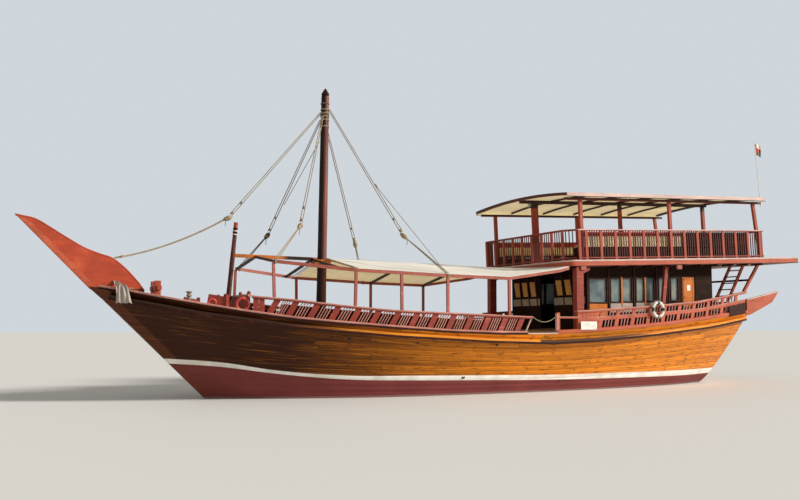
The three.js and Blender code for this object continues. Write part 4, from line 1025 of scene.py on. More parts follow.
def rub_rails():
    """Rubbing strake: a board with two half-round beads, carried along the sheer."""
    high, out = 0.13, 0.085
    turn = np.linspace(-0.5, 0.5, 7) * math.pi
    bead = np.stack([out - 0.03 + 0.028 * np.cos(turn), 0.03 * np.sin(turn)], -1)
    foot = np.array([(-0.08, -high / 4), (0.02, -high / 4)])
    ring = np.concatenate([foot, bead, foot[::-1] * (1, -1)])
    for side, name in SIDES:
        node_low, node_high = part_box(f"rub_rail_{name}")
        xs = np.linspace(node_low[0] + 0.15, node_high[0] - 0.002, 90)
        path = np.stack([xs, side * (column(STATIONS, xs, 2) - 0.04), column(RUB_TOP, xs) - high / 2], -1)
        upper_bead, lower_bead = (sweep(path + (0, 0, lift * high / 4), ring * (side, 1)) for lift in (1, -1))
        build(f"rub_strake_{name}", [
            ("rub_varnish", [upper_bead]),
            ("dark_beam", [lower_bead]),
        ], "red_timber", instead=[f"rub_rail_{name}"])


def pole_at(height, foot=MAST_FOOT, top=MAST_TOP):
    """Centre of the mast, or of another pole, at a height."""
    return foot + (top - foot) * (height - foot[2]) / (top[2] - foot[2])


def mast_radius(height):
    return MAST_RADIUS * (1 - 0.2 * (height - MAST_FOOT[2]) / (MAST_TOP[2] - MAST_FOOT[2]))


def pole_profile(lean, radius, count, swell):
    """Radius and height along a pole: the radius shrinks by a fifth up to the top, and swells a little."""
    long = np.linalg.norm(lean)
    h = np.linspace(0, long, count)
    return np.stack([radius * (1 - 0.2 * h / long) + swell(h), h], -1)


def spars():
    """Mast and forward post: tapered poles with shallow swellings, the mast with a dark pointed head and
    the post with two pale rope bands on a dark band."""
    lean = MAST_TOP - MAST_FOOT
    swell = lambda h: -0.002 + 0.002 * np.sin(3.1 * h) * np.sin(1.7 * h)
    profile = pole_profile(lean, MAST_RADIUS, 60, swell)
    head = [(0.1, -0.1), (0.1215, -0.07), (0.116, -0.04), (0.075, 0.03), (0.04, 0.09), (0.008, 0.13)]
    coils = [coil(pole_at(z), mast_radius(z) + 0.008, 0.01, 1.6, axis=lean) for z in (8.743, 8.4)]
    build("mast_pole", [
        ("mast_paint", [turned(profile[:-1], MAST_FOOT, lean, 32)]),
        ("dark_beam", [turned(head, MAST_TOP, lean, 32)]),
        ("old_rope", coils),
    ], "mast_timber", instead=["mast"])
    lean = POST_TOP - POST_FOOT
    profile = pole_profile(lean, POST_RADIUS, 30, lambda h: -0.001 + 0.0015 * np.sin(5 * h))
    at = lambda z: pole_at(z, POST_FOOT, POST_TOP)
    band = [(0.064, 0), (0.066, 0.01), (0.066, 0.18), (0.063, 0.19)]
    build("forward_pole", [
        ("post_timber", [turned(profile[:28], POST_FOOT, lean, 24)]),
        ("upper_post", [turned(profile[27:], POST_FOOT, lean, 24)]),
        ("dark_beam", [turned(band, at(4.64), lean, 24)]),
        ("white_paint", [coil(at(z), 0.068, 0.008, 1.8, axis=lean) for z in (4.63, 4.73)]),
    ], "mast_timber", instead=["forward_post"])


def falls(block, end, fall, fan, spread, sag):
    """Three ropes side by side from a block to its lower end, that sag by 4 * sag * t * (1 - t)."""
    t = np.linspace(0, 1, 9)[:, None]
    ropes = []
    for k in (-1, 0, 1):
        first, last = block + fall * 0.1 + fan * 0.017 * k, end - fall * 0.05 + fan * spread * k
        ropes.append(laid_rope(first + (last - first) * t - 4 * sag * t * (1 - t) * (0, 0, 1), 0.011))
    return ropes


def stay(name, height, block, end):
    """Stay: two laid ropes from a coil round the mast to a block in a rope strop, then three falls that fan
    out to a lashing on the beam below. Those of the forestay sag a little and end on the prow board."""
    block = np.array(block, float)
    on_beam = len(end) == 2
    if on_beam:
        x, side = end
        beam = np.array((x, side * column(AWNING, x, 2), column(AWNING, x, 3) - 0.045))
        end = beam + (0, side * 0.036, 0.039)
    else:
        end = np.array(end, float)
    centre, radius = pole_at(height), mast_radius(height)
    start = centre + np.append(unit(block[:2] - centre[:2]) * (radius + 0.012), 0)
    along, fall = unit(block - start), unit(end - block)
    aside = unit(np.cross(along, (0, 0, 1)))
    level = unit(np.cross(fall, aside))
    pair = unit(np.cross(along, (0.44, 0.9, 0)))
    ropes = [coil(centre, radius + 0.008, 0.01, 1.6)]
    for k in (-1, 1):
        ropes.append(laid_rope([start + pair * 0.02 * k, block - along * 0.13 + pair * 0.034 * k], 0.014))
    if on_beam:
        ropes += falls(block, end, fall, np.array((1.0, 0, 0)), 0.05, 0.0)
    else:
        ropes += falls(block, end, fall, level, 0.012, 0.15)
    ropes += [coil(block - along * back, 0.03, 0.008, 4, axis=along) for back in (0.2, 0.6)]
    ropes += [coil(block, 0.062, 0.011, 3, axis=fall)]
    strop = block + round_about(full_turn(28), fall * 0.14, aside * 0.056)
    ropes.append(sweep(strop, circle(0.012, 8), up=level, loop=True))
    tail = block + fall * 0.1
    ropes.append(laid_rope([tail, tail + (0.03, 0, -0.09), tail + (0.015, 0.01, -0.2)], 0.011))
    if on_beam:
        ropes += hoops(beam, 0.09, 0.08, 0.008, 3)
    else:
        ropes.append(shell(end + (0.24, 0, 0.07), fall, aside, 0.12, 0.07, 0.07))
        ropes.append(laid_rope([end + (0.26, 0, 0.09), end + (0, 0, -0.01), end + (-0.03, 0, -0.07)], 0.014))
    if name in LINES:
        ropes.append(laid_rope(LINES[name], 0.011))
        if name == "stay_aft_port":
            ropes.append(shell(LINES[name][0], along, aside, 0.14, 0.06, 0.06))
    wood = "dark_beam" if name == "stay_fore_starboard" else "block_wood"
    build(f"{name}_rope", [("rope", ropes), (wood, [shell(block, fall, aside, 0.26, 0.12, 0.13, 0.7)])],
          "rope", instead=[name])


def hemmed(inner, edge, drops):
    """Places across a cloth with a hem at both ends, and how far down the hem each one is: the hem's places
    repeat the edge, and its drops run from 1 at the free edge to 0."""
    hem = np.full(len(drops), edge)
    row, drop = np.concatenate([-hem, inner, hem]), np.concatenate([drops, 0 * inner, drops[::-1]])
    return row[None], drop[None]


def hollow(places, x):
    """Squared sine over each stretch between neighbouring places: 0 at both and 1 halfway."""
    k = np.clip(np.searchsorted(places, x, side="right") - 1, 0, len(places) - 2)
    share = np.clip((x - places[k]) / (places[k + 1] - places[k]), 0, 1)
    return np.sin(math.pi * share) ** 2


def awning():
    """Awning cloth: straight from ridge to eaves, hollow by a few centimetres between rafters, with a
    scalloped hem over each eave beam, and its fore edge laced to a rope."""
    xs = np.linspace(AWNING_RAFTERS[0], AWNING_RAFTERS[-1], 141)[:, None]
    s, drop = hemmed(np.linspace(-1, 1, 81), 1.0, [1, 0.75, 0.5, 0.25])
    ridge, half, eaves = (column(AWNING, xs, k) for k in (1, 2, 3))
    half = half + 0.04
    z = ridge + (eaves - ridge) * np.abs(s) + 0.012
    z = z - 0.03 * hollow(AWNING_RAFTERS, xs) * np.sin(math.pi * np.abs(s)) ** 0.7
    z = z - 0.02 * np.exp(-(s * half / 0.06) ** 2)
    z = z + 0.004 * np.sin(17 * xs + 5 * np.abs(s)) * np.sin(math.pi * np.abs(s))
    z = z - drop * 0.014
    edge = np.exp(-(s * half / 0.18) ** 2) * 0.12 + 0.018 * np.abs(np.sin(s * 26)) * (1 - drop)
    x = xs + edge * np.clip((-4.9 - xs) / 0.44, 0, 1)
    y = s * half + np.sign(s) * 0.006 * (drop > 0)
    grid = np.stack(np.broadcast_arrays(x, y, z), -1)
    # Its underside takes the glowing finish: painted light through the cloth
    piece = cloth("awning_cloth", grid, "canvas", "lining", slot="canvas")
    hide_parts("awning_canvas")
    front = grid[0, 4:-4]
    head = front + (-0.13, 0, 0.0)
    head = head[np.abs(head[:, 1]) > 0.2]
    laces = []
    for side in (-1, 1):
        row = head[np.sign(head[:, 1]) == side]
        laces.append(sweep(row, circle(0.008, 6)))
        back = front[np.sign(front[:, 1]) == side][-len(row):] if side > 0 else front[:len(row)]
        stop = np.arange(0, len(row) - 1, 2)
        zig = np.stack([row[stop] + (0, 0, 0.006), back[stop] + (0.03, 0, 0.006)], 1).reshape(-1, 3)
        laces.append(sweep(zig, circle(0.0045, 6)))
    lacing = add("awning_lacing", laces, "rope", "rope")


def canopy_z(y):
    return CANOPY_HEIGHT + CANOPY_CAMBER * (1 - (y / CANOPY_HALF) ** 2)


def canopy():
    """Canopy cloth over the cambered beams, hollow between them, with a scalloped hem at both sides, and
    the fascia boards that hold its edges."""
    xs = np.linspace(0, CANOPY_LENGTH, 151)[:, None]
    y, drop = hemmed(np.linspace(-2.69, 2.69, 61), 2.694, [1, 0.66, 0.33])
    z = canopy_z(y) + 0.006 - 0.016 * hollow(CANOPY_BEAMS, xs)
    z = z - drop * (0.09 + 0.02 * np.abs(np.sin(math.pi * xs / 0.3)))
    grid = upper(np.stack(np.broadcast_arrays(xs, y, z), -1))
    # Its underside takes the glowing finish: painted light through the cloth
    piece = cloth("canopy_sheet", grid, "canvas", "lining", slot="canvas")
    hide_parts("canopy_cloth")
    ys = np.linspace(-2.7, 2.7, 25)
    across = lambda x, lift: upper(np.stack([0 * ys + x, ys, canopy_z(ys) + lift], -1))
    run = np.linspace(-0.012, CANOPY_LENGTH + 0.01, 24)
    lengthwise = lambda y, lift: upper(np.stack([run, np.full(24, y), np.full(24, canopy_z(y) + lift)], -1))
    ends = (-0.008, CANOPY_LENGTH + 0.006)
    build("canopy_edges", [
        ("cap_paint", [bar(lengthwise(side * 2.712, -0.036), 0.018, 0.115, 0.004) for side in (-1, 1)]),
        ("baluster_timber", [bar(across(x, -0.03), 0.02, 0.09, 0.004) for x in ends]),
        ("orange_panel", [bar(across(0.01, -0.055), 0.014, 0.05, 0.003)]),
        ("dark_beam", [bar(lengthwise(side * 2.72, -0.1), 0.022, 0.02, 0.004) for side in (-1, 1)]),
    ], "beam_timber")


def guard_rail(name, run, posts, balusters, along, cap, node):
    """Guard rail of the upper deck: broad posts and thin balusters between two rails, under a rounded cap.
    run, posts and balusters are pairs of x and y in the deck's own frame."""
    level = lambda z, places=run: upper([(x, y, z) for x, y in places])
    upright = lambda places, low, high, *sizes: uprights(
        level(low, places), level(high, places), along, *sizes)
    build(name, [
        ("upper_post", [upright(posts, 0.0, 0.935, 0.11, 0.055, 0.008)]),
        ("baluster_timber", [upright(balusters, 0.07, 0.93, 0.032, 0.028, 0.006)]),
        ("red_timber", [bar(level(0.07), 0.05, 0.045), bar(level(0.925), 0.07, 0.02)]),
        (cap, [bar(level(0.953), 0.085, 0.036, 0.012)]),
    ], "red_timber", instead=[node])


def upper_rails():
    """Guard rails along both sides, across the front with slanted corners, and across the back."""
    start, end = 0.42, 8.42
    side_posts = np.concatenate([[start + 0.055], np.arange(0.74, end - 0.055, 0.579)])

    def fill(places):
        """Places of the balusters, about 115 mm apart between the posts."""
        return np.concatenate([np.linspace(a + 0.055, b - 0.055, int((b - a - 0.11) / 0.115) + 2)[1:-1]
                               for a, b in zip(places[:-1], places[1:])])
    for side, name in SIDES:
        y = side * (UPPER_HALF - 0.06)
        pairs = lambda xs: [(x, y) for x in xs]
        guard_rail(f"upper_guard_{name}", [(start, y), ((start + end) / 2, y), (end, y)], pairs(side_posts),
                   pairs(fill(side_posts)), (1, 0, 0), "cap_paint", f"upper_rail_{name}")
    front = np.arange(-4, 5) * 0.56
    corner = [(0.08 + t * 0.29, side * (2.24 + t * 0.32)) for t in (0.25, 0.5, 0.75) for side in (-1, 1)]
    guard_rail("upper_guard_front", [(0.37, -2.56), (0.08, -2.24), (0.08, 0), (0.08, 2.24), (0.37, 2.56)],
               [(0.08, y) for y in front], [(0.08, y) for y in fill(front)] + corner, (0, 1, 0), "red_timber",
               "upper_rail_front")
    aft = np.arange(-4, 5) * 0.61
    guard_rail("upper_guard_aft", [(8.48, -2.5), (8.48, 0), (8.48, 2.5)], [(8.48, y) for y in aft],
               [(8.48, y) for y in fill(aft)], (0, 1, 0), "red_timber", "upper_rail_aft")


def deck_outline(out, x_aft=UPPER_LENGTH):
    """Edge of the upper deck from its port aft corner round the rounded front corners, further out by some
    metres."""
    turn = np.linspace(0, math.pi / 2, 6)
    r = UPPER_CORNER + out
    port = np.stack([UPPER_CORNER - r * np.sin(turn), -(UPPER_HALF - UPPER_CORNER) - r * np.cos(turn)], -1)
    starboard = port[::-1] * (1, -1)
    xs = np.linspace(x_aft, UPPER_CORNER + 0.3, 12)
    side = np.stack([xs, np.full(12, -(UPPER_HALF + out))], -1)
    return np.concatenate([side, port, starboard, side[::-1] * (1, -1)])


def upper_deck_trim():
    """Fascia board round the deck's edge under a pale nosing and over a thin dark moulding that is painted
    shadow, with beams under the deck, dark as painted shade."""
    ring = lambda out, z: upper(np.insert(deck_outline(out), 2, z, axis=1))
    beam = lambda x, y0, y1: bar(upper([(x, y0, -0.225), (x, y1, -0.225)]), 0.09, 0.06)
    caps = [box((x - 0.1, side * 2.62 - 0.045, z - 0.17), (x + 0.1, side * 2.62 + 0.045, z - 0.02), 0.02)
            for x, z in ((2.24, 3.9), (6.16, 4.04)) for side in (-1, 1)]
    aft_edge = upper([(UPPER_LENGTH - 0.006, y, -0.1) for y in (-UPPER_HALF, UPPER_HALF)])
    build("upper_deck_edge", [
        ("fascia", [bar(ring(0.006, -0.115), 0.02, 0.14, 0.005), bar(aft_edge, 0.02, 0.18, 0.005)]),
        ("cap_paint", [bar(ring(0.012, -0.02), 0.035, 0.055, 0.01)]),
        # Dark moulding under the fascia: painted shadow; the beams under the deck: timber, dark as painted
        # shade
        ("dark_beam", [bar(ring(0.01, -0.19), 0.03, 0.022, 0.006)]
         + [beam(x, -2.55, 2.55) for x in (0.3, 0.62)]
         + [beam(x, side * 2.14, side * 2.58) for x in np.arange(2.0, 8.3, 0.7) for side in (-1, 1)]),
        ("pink_beam", caps),
    ], "deck_planks")


def benches():
    """Benches with beige panelled backs under a red top rail as far as band_end and dark ones abaft it, on
    legs."""
    start, end = BENCH
    band_end, panels_at = 4.8, start + 1.025 * np.arange(4)
    for side, name in SIDES:
        wall, front = side * (UPPER_HALF - 0.22), side * (UPPER_HALF - 0.68)

        def slab(x0, x1, y0, y1, z0, z1):
            points, faces = box((x0, min(y0, y1), z0), (x1, max(y0, y1), z1))
            return upper(points), faces

        panels = [slab(x, x + 1.013, wall - side * 0.036, wall, 0.42, 0.76) for x in panels_at]
        legs = [slab(x, x + 0.06, wall, front, 0.0, 0.38) for x in (start, 3.0, 5.3, end - 0.06)]
        build(f"bench_{name}", [
            ("bench_back", panels),
            ("red_band", [slab(start, band_end, wall - side * 0.04, wall, 0.76, 0.9)]),
            ("red_timber", [slab(start, end, wall - side * 0.04, wall, 0.38, 0.43)]),
            ("dark_beam", [slab(band_end, end, wall - side * 0.038, wall, 0.42, 0.9),
                           slab(start, end, wall - side * 0.02, wall, 0.02, 0.37),
                           slab(start, end, wall, front, 0.38, 0.42)] + legs),
        ], "beam_timber", instead=[f"upper_bench_{name}"])


# Cushions: how far a point may swell, frames of the simulation, and the route of the piping in half sizes
PAD_SWELL, PAD_FRAMES = 0.014, 20
PIPING = np.array([(-1, -1), (-0.5, -1), (0, -1), (0.5, -1), (1, -1), (1, 0),
                   (1, 1), (0.5, 1), (0, 1), (-0.5, 1), (-1, 1), (-1, 0)])


def stuffed(size, voxel=0.035):
    """Points and faces of a filled pad: a box blown up as cloth, every point held within PAD_SWELL of the
    box."""
    size = np.array(size)
    form = add("pad_form", [box(-size / 2, size / 2, 0.02)], "cushion")
    change = form.modifiers.new("voxels", "REMESH")
    change.mode, change.voxel_size = "VOXEL", voxel

    def read():
        done = bpy.data.meshes.new_from_object(form.evaluated_get(bpy.context.evaluated_depsgraph_get()))
        points = np.zeros(3 * len(done.vertices))
        done.vertices.foreach_get("co", points)
        return done, points.reshape(-1, 3)

    bpy.context.view_layer.update()
    mesh, still = read()
    form.modifiers.clear()
    form.data = mesh
    swell = form.modifiers.new("swell", "CLOTH")
    swell.settings.use_pressure = True
    swell.settings.uniform_pressure_force = 4.0
    swell.settings.effector_weights.gravity = 0
    for frame_number in range(1, PAD_FRAMES + 1):
        bpy.context.scene.frame_set(frame_number)
    moved = read()[1] - still
    form.modifiers.clear()
    bpy.context.scene.frame_set(1)
    far = np.linalg.norm(moved, axis=1, keepdims=True)
    still = still + moved * np.minimum(1, PAD_SWELL / np.maximum(far, 1e-9))
    faces = [list(face.vertices) for face in mesh.polygons]
    bpy.data.objects.remove(form)
    return still, faces


def cushions():
    """Bench cushions: one pad filled by a cloth simulation and laid eight times, each with piping round its
    edges."""
    count, gap = 4, 0.012
    long = (BENCH[1] - BENCH[0] - 0.01) / count
    size = (long - gap - 0.02, 0.395, 0.06)
    points, faces = stuffed(size)
    reach = np.array(size) / 2
    for side, name in SIDES:
        wall, front = side * (UPPER_HALF - 0.261), side * (UPPER_HALF - 0.68)
        for k in range(count):
            middle = np.array((BENCH[0] + 0.005 + (k + 0.5) * long, (wall + front) / 2, 0.4605))
            piping = []
            for z in (reach[2] - 0.008, 0.008 - reach[2]):
                route = np.column_stack([PIPING * (reach[:2] - 0.002), np.full(len(PIPING), z)]) + middle
                cord_points, cord_faces = sweep(route, circle(0.006, 6), loop=True)
                piping.append((upper(cord_points), cord_faces))
            pad = (upper(points + middle), faces)
            piece = build(f"cushion_{name}_{k + 1}", [("cushion", [pad]), ("bench_back", piping)], "cushion",
                          corner=70)
            if not k:
                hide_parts(f"upper_cushion_{name}")


def flag():
    """Limp flag: folds that deepen away from the staff; its map runs from hoist to fly and from foot to
    head."""
    u, v = np.meshgrid(np.linspace(0, 1, 31), np.linspace(0, 1, 25))
    x0, y0 = CANOPY_LENGTH + 0.048, -(UPPER_HALF - 0.16)
    low, high = (x0 - 0.083, 3.64), (x0 - 0.1048, 4.05)
    x = low[0] + (high[0] - low[0]) * v + u * (0.235 + 0.03 * v) + 0.012
    y = y0 + 0.012 + 0.028 * u * np.sin(2 * math.pi * (1.4 * u + 0.25 * v) + 0.4)
    z = low[1] + (high[1] - low[1]) * v - 0.05 * u + 0.01 * np.sin(5 * u)
    grid = upper(np.stack([x, y, z], -1))
    piece = cloth("flag_bunting", grid, "flag_cloth", "flag_cloth", 0.0015,
                  slot="flag_cloth", planks=np.column_stack([u.ravel(), v.ravel()]))
    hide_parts("flag")


def gangway_rope():
    """Slack rope across the gangway, hung between two posts."""
    t = np.linspace(0, 1, 41)
    x = GANGWAY_POSTS[0] + (GANGWAY_POSTS[1] - GANGWAY_POSTS[0]) * t
    points = np.stack([x, np.full(41, -rail_y(0.6)), GANGWAY_HEIGHT - GANGWAY_SAG * 4 * t * (1 - t)], -1)
    path = smooth_path(points, 0.012)
    piece = add("gangway_line", [laid_rope(points, 0.0128, 0.012)], "rope", "rope")
    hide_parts("gangway_rope")
    [tuple(point) for point in path[::2]] + [tuple(path[-1])]


def lifebuoys():
    """White lifebuoy with four dark bands and a grab line, and two red rings on the foredeck."""
    yaw = math.atan((rail_y(4.3) - rail_y(5.9)) / 1.6)
    axis = np.array((-math.sin(yaw), math.cos(yaw), 0))
    x = 5.14
    centre = np.array((x, -(rail_y(x) + 0.065 + 0.0503 / math.cos(yaw)), 2.54))
    sides, around = 64, 20
    turn = np.repeat(np.arange(sides) / sides, around)
    piece = add("lifebuoy_ring", [torus(centre, 0.23, 0.05, axis, sides, around)], "buoy", "white_paint",
                planks=np.column_stack([turn, 0 * turn]))
    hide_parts("lifebuoy_aft")
    turn = full_turn(96)
    slack = 0.293 + 0.012 * np.abs(np.sin(2 * turn))[:, None]
    line = centre + slack * round_about(turn, *directions(axis)[1:])
    add("lifebuoy_line", [sweep(line, circle(0.005, 6), up=axis, loop=True)], "rope", "rope")
    rings = (((-8.33, -1.72, 2.6), 0.165, 0.042), ((-9.1, -1.5, 2.635), 0.1, 0.03))
    add("bow_rings", [torus(*ring, (0.15, 1, 0.1)) for ring in rings], "red_ring", "red_timber")


def cabin_side(side, name):
    """Deckhouse side: frames round the windows, orange mullions, tinted panes, an orange panel under the
    first window and pale sills under the next ones."""
    def slab(x0, x1, z0, z1, inner, outer):
        low, high = sorted((side * (CABIN_HALF + inner), side * (CABIN_HALF + outer)))
        return box((x0, low, z0), (x1, high, z1), 0.003)

    frames, panes, sills = [], [], []
    for k, (x0, x1) in enumerate(WINDOWS):
        z0 = WINDOW_BOTTOM + WINDOW_RISE * (x0 - WINDOWS[0][0])
        z1 = z0 + WINDOW_HEIGHT
        frames += [slab(*edges, -0.05, 0.022) for edges in (
            (x0 - 0.03, x1 + 0.03, z0 - 0.035, z0 + 0.01), (x0 - 0.03, x1 + 0.03, z1 - 0.01, z1 + 0.035),
            (x0 - 0.03, x0 + 0.01, z0, z1), (x1 - 0.01, x1 + 0.03, z0, z1))]
        panes.append(slab(x0, x1, z0, z1, -0.034, -0.028))
        if 0 < k < 5:
            sills.append(slab(x0 - 0.02, x1 + 0.02, z0 - 0.34, z0 - 0.05, -0.01, 0.014))
    under_deck = lambda x: 3.79 + UPPER_SLOPE * (x - UPPER_FRONT[0])
    posts = [slab(x - 0.03, x + 0.03, 2.2, under_deck(x), 0, 0.03) for x in (2.78, 3.63, 4.665, 5.62, 6.145)]
    mullions = [slab(x, x + 0.06, 2.7, 3.6, -0.02, 0.026) for x in (4.12, 5.1)]
    build(f"cabin_windows_{name}", [
        ("dark_beam", frames + posts),
        ("orange_panel", [slab(*WINDOWS[0], 2.24, 2.715, -0.01, 0.012)] + mullions),
        ("grey_paint", sills),
    ], "cabin_timber")
    add(f"cabin_panes_{name}", panes, "glass", "cabin_timber")


def cabin_front():
    """Deckhouse front: bright panels between dark slanted mullions, over two grey sills."""
    slanted = lambda y0, y1, z0, z1, lean: [(y0, z0), (y1, z0), (y1 + lean, z1), (y0 + lean, z1)]
    starts = (-1.98, -1.5, -1.02, 0.5, 0.98, 1.46)
    bright = [plate(slanted(y + 0.07, y + 0.42, 3.02, 3.52, 0.12), 2.735, 2.752, 0) for y in starts]
    dark = [plate(slanted(y, y + 0.06, 2.62, 3.72, 0.18), 2.722, 2.752, 0) for y in starts]
    sills = [box((2.73, y0, 2.7), (2.752, y1, 2.94)) for y0, y1 in ((-2.04, -0.42), (0.42, 2.04))]
    build("cabin_front_panels", [
        ("amber", bright),
        ("dark_beam", dark),
        ("grey_paint", sills),
    ], "cabin_timber")


def door_mouldings():
    """Outer side of the deckhouse door: a frame with a middle rail, a blank notice, and a bronze knob and
    plate."""
    face = -(CABIN_HALF - 0.028)
    leaf = lambda x0, x1, z0, z1, out: box((x0, face - out, z0), (x1, face + 0.002, z1), 0.003)
    x0, x1, z0, z1 = np.array(DOOR) + (0.05, -0.05, 0.05, -0.05)
    knob = [(0.022, 0), (0.022, 0.006), (0.008, 0.008), (0.008, 0.014), (0.014, 0.018)]
    build("door_mouldings", [
        ("orange_panel", [leaf(x0, x1, z, z + 0.05, 0.01) for z in (z0, 2.95, z1 - 0.05)]
         + [leaf(x, x + 0.04, z0, z1, 0.01) for x in (x0, x1 - 0.04)]),
        ("white_paint", [leaf(6.98, 7.13, 3.2, 3.39, 0.006)]),
        ("bronze", [turned(knob, (7.245, face, 2.99), (0, -1, 0)),
                    shell((7.22, face - 0.018, 2.99), (1, 0, 0), (0, 0, 1), 0.09, 0.016, 0.012)]),
    ], "door_timber", body="cabin_door")


def prow():
    """Prow board with a bright band along its fore edge that is a painted highlight on that edge, a moulding
    over its top edge and the stem head under it."""
    edge = np.array([
        (-13.9, 4.915), (-13.435, 4.835), (-13.063, 4.63), (-12.661, 4.384), (-12.176, 4.111),
        (-11.79, 3.964), (-11.478, 3.867), (-11.132, 3.607), (-10.726, 3.181)])
    moulding = np.insert(smooth_path(edge, 0.12), 1, 0.0, axis=1) - (0, 0, 0.022)
    board = np.concatenate([[(-10.6, 3.0), (-12.01, 3.0), (-13.92, 4.93)], smooth_path(edge[1:], 0.08)])
    # Bright band along the fore edge: painted highlight
    band = [(-12.0, 3.03), (-11.82, 3.03), (-13.5, 4.71), (-13.9, 4.925)]
    head = [(-12.01, 3.02), (-11.72, 2.76), (-11.0, 2.6), (-10.6, 2.75), (-10.6, 3.02)]
    foot = [(-11.96, 0, 3.025), (-11.4, 0, 3.035), (-10.9, 0, 3.035)]
    build("prow_mouldings", [
        ("prow_paint", [plate(board, -0.045, 0.045), bar(moulding, 0.104, 0.04, 0.012)]),
        ("fascia", [plate(band, -0.049, 0.049)]),
        ("stem_timber", [plate(head, -0.052, 0.052)]),
        ("grey_paint", [bar(foot, 0.108, 0.022, 0.006)]),
    ], "prow_paint", instead=["prow_board"])


def prow_cloth():
    """Bundle of cloth that hangs over the prow's port side: a profile carried along the boat, with sine
    creases."""
    u, v = np.meshgrid(np.linspace(0, 1, 25), np.linspace(0, 1, 33))
    run = smooth_path([(-0.05, 3.24), (-0.28, 3.13), (-0.57, 3.06), (-0.67, 2.86), (-0.66, 2.62)], 0.03)
    fall = np.stack([np.interp(v, np.linspace(0, 1, len(run)), run[:, k]) for k in (0, 1)], -1)
    crease = 0.016 * np.sin(6 * math.pi * u + 5 * v) + 0.01 * np.sin(11 * u - 7 * v)
    x = -11.36 + 0.24 * (u - 0.5) * (0.6 + v) + 0.12 * v
    grid = np.stack([x, fall[..., 0] - crease - 0.45 * v * (x + 11.4), fall[..., 1] + 0.6 * crease], -1)
    wrap = cloth("prow_cloth", grid, "grey_cloth", "grey_cloth", 0.003, slot="canvas")


def fittings():
    """Small parts: ventilator, name boards without lettering, blank plate, hull discs, lamp, the pale capping
    of the quarter wings and the bar over the stern, painted dark as the shade it lies in."""
    vent = [(0.05, 0), (0.05, 0.1), (0.075, 0.11), (0.075, 0.15), (0.05, 0.17), (0.05, 0.2), (0.09, 0.22),
            (0.09, 0.245), (0.03, 0.26)]
    add("ventilator", [turned(vent, (-9.37, 0, column(STATIONS, -9.37) + 0.16))], "grey_paint", "iron")
    disc = [(0.05, -0.06), (0.05, 0.012), (0.03, 0.018), (0.028, 0.006), (0.004, 0.006)]
    places = ((-5.47, 2.299, 1.686), (-3.502, 2.551, 1.564), (-0.975, 2.687, 1.486), (-1.867, 2.269, 0.531),
              (1.619, 2.184, 0.345))
    boards, discs = [], []
    for side in (-1, 1):
        ends = [(x, side * (rail_y(x) + 0.1), z) for x, z in ((8.77, 2.5), (9.75, 2.62))]
        boards.append(bar(ends, 0.03, 0.34, 0.008))
        discs += [turned(disc, (x, side * y, z), (0, side, 0.12), 16) for x, y, z in places]
    build("name_boards", [("dark_beam", boards)], "red_timber")
    by_plate = rail_y(2.3)
    plain = box((1.97, -(by_plate + 0.1), 1.9), (2.57, -(by_plate + 0.084), 2.15), 0.004)
    add("blank_plate", [plain], "white_paint", "white_paint")
    add("hull_discs", discs, "iron", "iron")
    lamp = upper((0.52, 0.14, 1.98))
    build("canopy_lamp", [
        ("white_paint", [turned([(0.03, 0), (0.045, 0.02), (0.045, 0.1), (0.03, 0.12)], lamp)]),
        ("iron", [bar([lamp + (0, 0, 0.06), lamp + (0.08, -0.06, 0.06)], 0.02, 0.02)]),
    ], "white_paint")
    caps = []
    for _, name in SIDES:
        low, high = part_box(f"quarter_wing_{name}")
        y = (low[1] + high[1]) / 2
        caps.append(bar([(9.93, y, 2.935), (10.7, y, 3.09), (11.48, y, 3.245)], 0.09, 0.045, 0.008))
    build("wing_caps", [("cap_paint", caps)], "red_timber")
    # The bar over the stern is painted dark as the shade it lies in
    stern_bar = bar([(10.03, -2.0, 3.63), (10.03, 2.0, 3.63)], 0.05, 0.07)
    build("stern_bar", [("dark_beam", [stern_bar])], "red_timber")


# Camera of the photograph: place, turn in degrees. Main light: where it comes from, width in degrees, tint
CAMERA_PLACE, CAMERA_TURN, SENSOR_WIDTH = (-15.16, -25.16, 2.07), (94.71, 0, -26.15), 36
SUN_FROM, SUN_WIDTH, SUN_TINT = (0.75, -0.5, 0.42), 9, (1.0, 0.95, 0.87)
FLOOR_REACH = 220


class HullSettings(bpy.types.PropertyGroup):
    strakes: IntProperty(name="Strakes", description="Planks from waterline to deck edge", default=13, min=3)
    stations: IntProperty(name="Stations", description="Sections along the hull", default=181, min=20)
    seam_width: FloatProperty(
        name="Seam width", description="Groove between planks", default=0.018, subtype="DISTANCE")
    seam_depth: FloatProperty(
        name="Seam depth", description="Depth of the groove", default=0.004, subtype="DISTANCE")


def colour_setting(name, description, code):
    return FloatVectorProperty(
        name=name, description=description, subtype="COLOR", size=3, default=tone(code)[:3])


